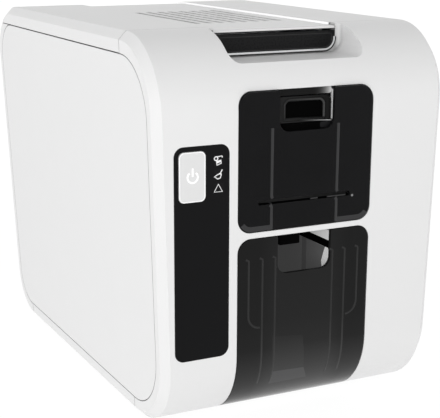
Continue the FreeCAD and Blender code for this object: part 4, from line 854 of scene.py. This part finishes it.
class CARDPRINTER_OT_finger_well(Step, bpy.types.Operator):
    """Build the dark finger well behind the upper door's notch, with its light and shade painted
    in its greys
    """
    bl_idname = "card_printer.finger_well"
    bl_label = "Finger well"

    def build(self, scene):
        look = scene.door_look
        back = look.thick + 0.1 * MM
        plate = rounded_outline(in_mm([(-21, 205.8, 1), (19.4, 205.4, 1), (19.4, 222.4, 5),
                                       (-21, 222.8, 4)]))
        hole = rounded_outline(in_mm([(-16.4, 206.9, 1), (15.0, 206.5, 1), (15.0, 221.2, 4.5),
                                      (-16.4, 221.4, 4.5)]))
        bm = slab(plate, [hole], 1.6 * MM, 0.3 * MM,
                  lambda x, z, depth: on_front(x, z, depth + back))
        shown("well_plate", weighted(bm, "well_plate"), "door_well", UPPER)
        bevel = ((0.0, 0.3), (0.9, 0.5), (2.1, 0.9))
        cup = ((2.1, 0.9), (2.3, 1.2), (3.0, 1.4))
        self.sunk("well_bevel", hole, back, bevel, False, "door_well")
        self.sunk("well_cup", hole, back, cup, True, "painted_shade_black")
        # A raised bead round the hole whose grey is a painted highlight, lighter to the right
        ridge = in_mm([(-15.4, 209)])
        ridge += arc_points((-11.4 * MM, 216.6 * MM), 4 * MM, 180, 90, 8)
        ridge += arc_points((10 * MM, 216.2 * MM), 4 * MM, 90, 0, 8)
        ridge += in_mm([(14, 208.4)])
        beads("well_ridge", [laid(ridge, back + 0.3 * MM)], 0.75 * MM, 12, "well_ridge", UPPER)
        # The shelf's grey is painted light on its right end; the gap is painted shade
        for name, finish, sides, raised in (
                ("well_shelf", "well_shelf", (-21, 19.4, 223.4, 227.9, 1.5), 0),
                ("well_gap", "painted_shade_black", (-21, 20.2, 200.4, 205.3, 1.5), 0),
                ("well_foot", "well_foot", (11, 20.2, 201.0, 205.2, 1.5), 0.05 * MM)):
            patch(name, rectangle_in_mm(*sides), 1.2 * MM, back - raised, finish, UPPER)
        # Painted highlight: a thin light line below the hole
        lower_highlight = laid(in_mm([(-4.7, 207.2), (19.6, 205.7)]), back - 0.1 * MM)
        beads("well_ledge", [lower_highlight], 0.25 * MM, 10, "well_ledge", UPPER)
        edge = look.notch_half - 0.5 * MM
        patch("notch_glint", rectangle_in_mm(206.6, 226, 2.3, 4.3), 0.6 * MM, 0,
              "door_glint", UPPER, lambda high, deep, out: on_front(edge + out, high, deep))

    def sunk(self, name, hole, back, sizes, closed, finish):
        """A wall that follows the hole inwards, given as rings of inset and depth in mm."""
        bm = bmesh.new()
        outline = turned_left(hole)
        rings = [[bm.verts.new(spot) for spot in
                  laid(offset_outline(outline, inset * MM), back + depth * MM)]
                 for inset, depth in sizes]
        walled(bm, rings)
        if closed:
            bm.faces.new(rings[-1])
        mesh = modified(mesh_from(bm, name, 60), name, "SOLIDIFY", thickness=0.4 * MM, offset=1)
        shown(name, mesh, finish, UPPER)


class CARDPRINTER_OT_bin_parts(Step, bpy.types.Operator):
    """Build what shows through the lower door's notch, with painted light: pale pieces that glow,
    and near-black pieces where it lies in shadow
    """
    bl_idname = "card_printer.bin_parts"
    bl_label = "Bin parts"

    def build(self, scene):
        liner = [(-141.5, 104), (-146, 115), (-74, 115), (-74, 92), (-74, 40), (-152, 40),
                 (-152, 60)]
        for name, points, out, finish in (
                ("bin_cheek", rectangle(-156, -126, 96, 127.5), 0, "bin_cheek"),
                ("bin_liner", liner, 0.2, "bin_liner"),
                ("bin_joint", rectangle(-121.5, -115.5, 60, 115), 0.3, "bin_joint"),
                # Painted shadow along the top of the bin's wall
                ("bin_rail", rectangle(-156, -74, 115.2, 120.6), 0.4, "painted_shade_black")):
            patch(name, in_mm(points), 0.3 * MM, out * MM, finish, HOUSING, on_bin_wall)
        # Painted shade: a near-black block for the dark inside behind the notch
        shade_block = rectangle_in_mm(-17, -1.7, 124.8, 135.5, 0.8)
        patch("bin_latch", shade_block, 2.6 * MM, 3.9 * MM, "painted_shade_black", HOUSING)


class CARDPRINTER_OT_top_lines(Step, bpy.types.Operator):
    """Draw the channel's painted highlight, the handle bar's border and a dark bead of painted
    shadow round the bar
    """
    bl_idname = "card_printer.top_lines"
    bl_label = "Lines on the top"

    def build(self, scene):
        look = scene.casing_look
        # Painted highlight: a bright bead along each edge of the channel
        radius = look.step_highlight_radius
        side, sunk = look.channel_half + 0.1 * MM, radius + 0.1 * MM
        front, flat_end, roll = -112.5 * MM, 125 * MM, 40 * MM
        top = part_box("lid")[1].z
        edge = [(front, top - sunk), (0, top - sunk)]
        edge += arc_points((flat_end, top - roll), roll - sunk, 90, 42, 12)
        edges = [[Vector((x, y, z)) for y, z in edge] for x in (-side, side)]
        beads("channel_edge", edges, radius, 12, "painted_step_highlight", ("lid", "white_casing"))
        low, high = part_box("lid_handle")
        inset, corner = 1.9 * MM, 6 * MM
        border = rectangle(low.x + inset, high.x - inset, low.z + inset, high.z - inset,
                           corner, inset)
        line = upright(border, low.y + 0.15 * MM)
        beads("bar_border", [line + line[:1]], 0.3 * MM, 8, "door_rib",
              ("handle", "black_bar"))
        # Painted shadow: a dark bead in the gap round the bar
        bar_round, shadow_line_top, out = 8 * MM, 255 * MM, look.shadow_line_radius
        middle = (high.x - bar_round, low.z + bar_round)
        shadow_line = [(high.x + out, shadow_line_top), *arc_points(middle, bar_round + out, 0, -90, 12)]
        shadow_line += [(-x, z) for x, z in reversed(shadow_line)]
        beads("bar_seal", [upright(shadow_line, low.y - out)], out, 10, "black_rubber",
              ("housing", "black_rubber"))


class CARDPRINTER_OT_button_symbol(Step, bpy.types.Operator):
    """Draw the ring and bar on the power button, and a painted highlight round its edge"""
    bl_idname = "card_printer.button_symbol"
    bl_label = "Button symbol"

    def build(self, scene):
        look = scene.mark_look
        low, high = BUTTON
        x, z = (low.x + high.x) / 2 + look.ring_right, (low.z + high.z) / 2
        gap = look.ring_gap
        ring = list(arc_points((x, z), look.ring, 90 + gap, 450 - gap, 28))
        stem = [(x, z + look.ring * up) for up in (0.12, 1.65)]
        spot = low.y + look.line * 0.6
        beads("button_symbol", [upright(line, spot) for line in (ring, stem)], look.line, 10,
              "symbol_white_glow", POWER_BUTTON)
        # Painted highlight: a glowing bead round the button's edge
        inset, corner = look.rim_inset, 3.5 * MM
        wide = inset + FLANGE
        rim = rectangle(low.x + wide, high.x - wide, low.z + wide, high.z - wide,
                        corner - inset)
        line = upright(rim, low.y + inset * 0.6)
        beads("button_rim", [line + line[:1]], inset, 10, "painted_rim_highlight", POWER_BUTTON)


class CARDPRINTER_OT_small_marks(Step, bpy.types.Operator):
    """Draw a card, a brush and a triangle on the three lights"""
    bl_idname = "card_printer.small_marks"
    bl_label = "Small marks"

    def build(self, scene):
        look = scene.mark_look
        size = look.mark_size
        low, high = LIGHTS
        across = (low.x + high.x) / 2 - look.mark_left
        top = high.z - (high.x - low.x) / 2
        roll = list(arc_points((-0.55, 0.5), 0.42, 60, 420, 12))
        web = [(-0.35, 0.88), (0.85, 1.0), (0.95, 0.65)]
        card = [(-0.45, -0.1), (0.6, 0.1), (0.7, -0.6), (-0.35, -0.95), (-0.45, -0.1)]
        stripe = [(-0.42, -0.3), (0.62, -0.05), (0.64, -0.2), (-0.4, -0.5)]
        handle = [(0.95, 1.0), (0.5, 0.25)]
        collar = [(0.1, 0.2), (0.75, 0.05)]
        brush = [(0.5, 0.1), (-0.1, 0.0), (-0.95, -0.45), (-0.15, -1.0), (0.45, -0.85),
                 (0.7, -0.15), (0.5, 0.1)]
        triangle = [(-1, -0.85), (1, -0.85), (0, 0.85), (-1, -0.85)]
        marks = ((roll, web, card, stripe), (handle, collar, brush), (triangle,))
        spot = low.y + look.thin_line * 0.3
        paths = [upright([(across + x * size, top - look.light_pitch * row + z * size)
                          for x, z in path], spot)
                 for row, mark in enumerate(marks) for path in mark]
        beads("small_marks", paths, look.thin_line, 8, "mark_white",
              ("housing", "clear_light"))


class CARDPRINTER_OT_screws(Step, bpy.types.Operator):
    """Put domed cross-head screws in the rear cover"""
    bl_idname = "card_printer.screws"
    bl_label = "Case screws"

    def build(self, scene):
        head = linked("screw_head", self.head(scene.casing_look))
        spots = mesh_of("spots", self.spots(frame["nodes"]["case_screws"].data))
        mesh = grown_by("spot", spots, "screws", "steel_bar", shape=head)
        bpy.data.objects.remove(head)
        shown("domed_screws", mesh, None, ("housing", "steel_bar"), "case_screws")

    def head(self, look):
        """A domed head with a cross sunk in it."""
        bm = bmesh.new()
        count, rise = 24, look.screw_rise
        rings = []
        for out, y in ((1.0, -1.2 * MM), (1.0, 0.0), (0.8, rise * 0.6), (0.45, rise)):
            reach = look.screw_radius * out
            angles = [math.tau * index / count for index in range(count)]
            rings.append([bm.verts.new((reach * math.cos(angle), y, reach * math.sin(angle)))
                          for angle in angles])
        arms = []
        for index, vert in enumerate(rings[-1]):
            cut = 0.9 if index % 6 in (0, 1, 5) else 0.35
            arms.append((vert.co.x * cut, vert.co.z * cut))
        rings += [[bm.verts.new((x, y, z)) for x, z in arms] for y in (rise * 0.95, -rise)]
        walled(bm, rings)
        bm.faces.new(rings[-1])
        bm.faces.new(rings[0][::-1])
        return mesh_from(bm, "screw_head", 35)

    def spots(self, mesh):
        """The middle of each packed screw's outer face."""
        middle = (SCREWS[0].z + SCREWS[1].z) / 2
        spots = []
        for x_side, z_side in ((-1, -1), (-1, 1), (1, -1), (1, 1)):
            near = [vert.co for vert in mesh.vertices
                    if vert.co.x * x_side > 0 and (vert.co.z - middle) * z_side > 0]
            low, high = ([pick(co[axis] for co in near) for axis in range(3)]
                         for pick in (min, max))
            spots.append(((low[0] + high[0]) / 2, high[1] - 0.6 * MM, (low[2] + high[2]) / 2))
        return spots


class CARDPRINTER_OT_head_fins(Step, bpy.types.Operator):
    """Put a row of cooling fins on the print head"""
    bl_idname = "card_printer.head_fins"
    bl_label = "Print head fins"

    def build(self, scene):
        low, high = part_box("print_head")
        count, pitch = 5, 2 * MM
        deep, tall, wide = (high.y - low.y) * 0.8, 3.2 * MM, 0.8 * MM
        for name, first in (("head_fins_left", low.x + pitch),
                            ("head_fins_right", high.x - pitch - pitch * (count - 1))):
            bm = bmesh.new()
            bmesh.ops.create_cube(bm, size=1)
            middle = Vector((first, (low.y + high.y) / 2, high.z + tall / 2))
            for vert in bm.verts:
                vert.co = middle + vert.co * Vector((wide, deep, tall))
            bmesh.ops.bevel(bm, geom=bm.edges[:], offset=0.15 * MM, segments=1, affect="EDGES")
            mesh = grown_by("row", mesh_from(bm, "fin"), "fin", "head_metal", count=count,
                            step=(pitch, 0, 0))
            shown(name, mesh, None, ("lid", "head_metal"))


class CARDPRINTER_OT_stage(Step, bpy.types.Operator):
    """Set the floor, the lamps and the camera"""
    bl_idname = "card_printer.stage"
    bl_label = "Studio"

    def build(self, scene):
        look = scene.stage_look
        scene.view_settings.view_transform = "Standard"
        add_floor(look)
        add_world(scene, look)
        add_lamp("key_lamp", (-1.5, -1.5, 0.45), look.key, 0.9)
        add_lamp("fill_lamp", (1.4, -2.0, 0.6), look.fill, 1.6)
        add_camera(scene, look)


def emptied(owner):
    """The owner's node tree, without nodes."""
    owner.use_nodes = True
    owner.node_tree.nodes.clear()
    return owner.node_tree


def seen_rays(tree):
    """1 for rays that the camera, a reflection or a clear pane sees."""
    total = made(tree, "LightPath", "Is Camera Ray", {})
    rays = total.node.outputs
    for word in ("Is Glossy Ray", "Is Transmission Ray"):
        total = made(tree, "Math", "Value", {0: total, 1: rays[word]}, operation="MAXIMUM")
    return total


def add_floor(look):
    """A pale floor with some light of its own, and more of it away from the printer."""
    bm = bmesh.new()
    bmesh.ops.create_circle(bm, cap_ends=True, segments=96, radius=FLOOR_RADIUS)
    mesh = bpy.data.meshes.new("floor")
    bm.to_mesh(mesh)
    bm.free()
    material = bpy.data.materials.new("pale_floor")
    tree = emptied(material)
    place = made(tree, "TexCoord", "Object", {})
    far = made(tree, "VectorMath", "Value", {0: place}, operation="LENGTH")
    fade = made(tree, "MapRange", "Result", {
        "Value": far, "From Min": FLOOR_NEAR, "From Max": FLOOR_FAR,
        "To Min": look.floor_glow, "To Max": 1})
    seen = made(tree, "Math", "Value", {0: fade, 1: seen_rays(tree)}, operation="MULTIPLY")
    own = made(tree, "Math", "Value", {0: seen, 1: look.floor_bounce}, operation="MAXIMUM")
    mix = made(tree, "MixShader", "Shader", {
        "Fac": own, 1: made(tree, "BsdfDiffuse", "BSDF", {"Color": (0.9, 0.9, 0.9, 1)}),
        2: made(tree, "Emission", "Emission", {"Strength": 1.04})})
    fill(tree, tree.nodes.new("ShaderNodeOutputMaterial"), {"Surface": mix})
    mesh.materials.append(material)
    floor = linked("floor", mesh)


def add_world(scene, look):
    """Plain white where it is seen, and softer light from the sides and above."""
    scene.world = bpy.data.worlds.new("studio")
    tree = emptied(scene.world)
    place = made(tree, "TexCoord", "Generated", {})
    fade = made(tree, "MapRange", "Result", {
        "Value": made(tree, "SeparateXYZ", "Z", {"Vector": place}),
        "To Min": look.level, "To Max": look.zenith})
    soft, bright = (made(tree, "Background", "Background", {"Color": WHITE, "Strength": light})
                    for light in (fade, 1))
    mix = made(tree, "MixShader", "Shader", {"Fac": seen_rays(tree), 1: soft, 2: bright})
    fill(tree, tree.nodes.new("ShaderNodeOutputWorld"), {"Surface": mix})


def add_lamp(name, place, power, size):
    data = bpy.data.lights.new(name, "AREA")
    data.energy = power
    data.size = size
    lamp = linked(name, data)
    lamp.location = place
    aim = Vector(LAMP_AIM) - Vector(place)
    lamp.rotation_euler = aim.to_track_quat("-Z", "Y").to_euler()


def add_camera(scene, look):
    """The photograph's view, found from the printer's straight edges."""
    data = bpy.data.cameras.new("camera")
    data.sensor_fit = "HORIZONTAL"
    data.sensor_width = 36
    data.lens = look.focal
    data.shift_x = look.shift_right
    data.shift_y = look.shift_up
    right = Vector((0.90031802, -0.43523255, 0.00031062))
    up = Vector((0.1171524, 0.2430276, 0.96291895))
    back = Vector((-0.41916915, -0.86689689, 0.26979067))
    turn = Matrix((right, up, back)).transposed().to_4x4()
    scene.camera = linked("camera", data)
    scene.camera.matrix_world = Matrix.Translation(CAMERA_PLACE) @ turn


STEPS = (CARDPRINTER_OT_materials, CARDPRINTER_OT_trees, CARDPRINTER_OT_upper_door,
         CARDPRINTER_OT_lower_door, CARDPRINTER_OT_finger_well, CARDPRINTER_OT_bin_parts,
         CARDPRINTER_OT_top_lines, CARDPRINTER_OT_button_symbol, CARDPRINTER_OT_small_marks,
         CARDPRINTER_OT_screws, CARDPRINTER_OT_head_fins, CARDPRINTER_OT_stage)


class CARDPRINTER_PT_panel(bpy.types.Panel):
    """The card printer's steps and sizes."""
    bl_idname = "CARDPRINTER_PT_panel"
    bl_label = "Card printer"
    bl_space_type = "VIEW_3D"
    bl_region_type = "UI"
    bl_category = "Card printer"

    def draw(self, context):
        for step in STEPS:
            self.layout.operator(step.bl_idname)
        for word in GROUPS:
            look = getattr(context.scene, word)
            column = self.layout.column()
            for name in look.__annotations__:
                column.prop(look, name, text=name.replace("_", " ").capitalize())


CLASSES = (*GROUPS.values(), *STEPS, CARDPRINTER_PT_panel)


def register():
    for item in CLASSES:
        bpy.utils.register_class(item)
    for word, group in GROUPS.items():
        setattr(bpy.types.Scene, word, PointerProperty(type=group))


def unregister():
    for word in GROUPS:
        delattr(bpy.types.Scene, word)
    for item in reversed(CLASSES):
        bpy.utils.unregister_class(item)


def main():
    register()
    for step in STEPS:
        group, word = step.bl_idname.split(".")
        getattr(getattr(bpy.ops, group), word)()


if __name__ == "__main__":
    main()
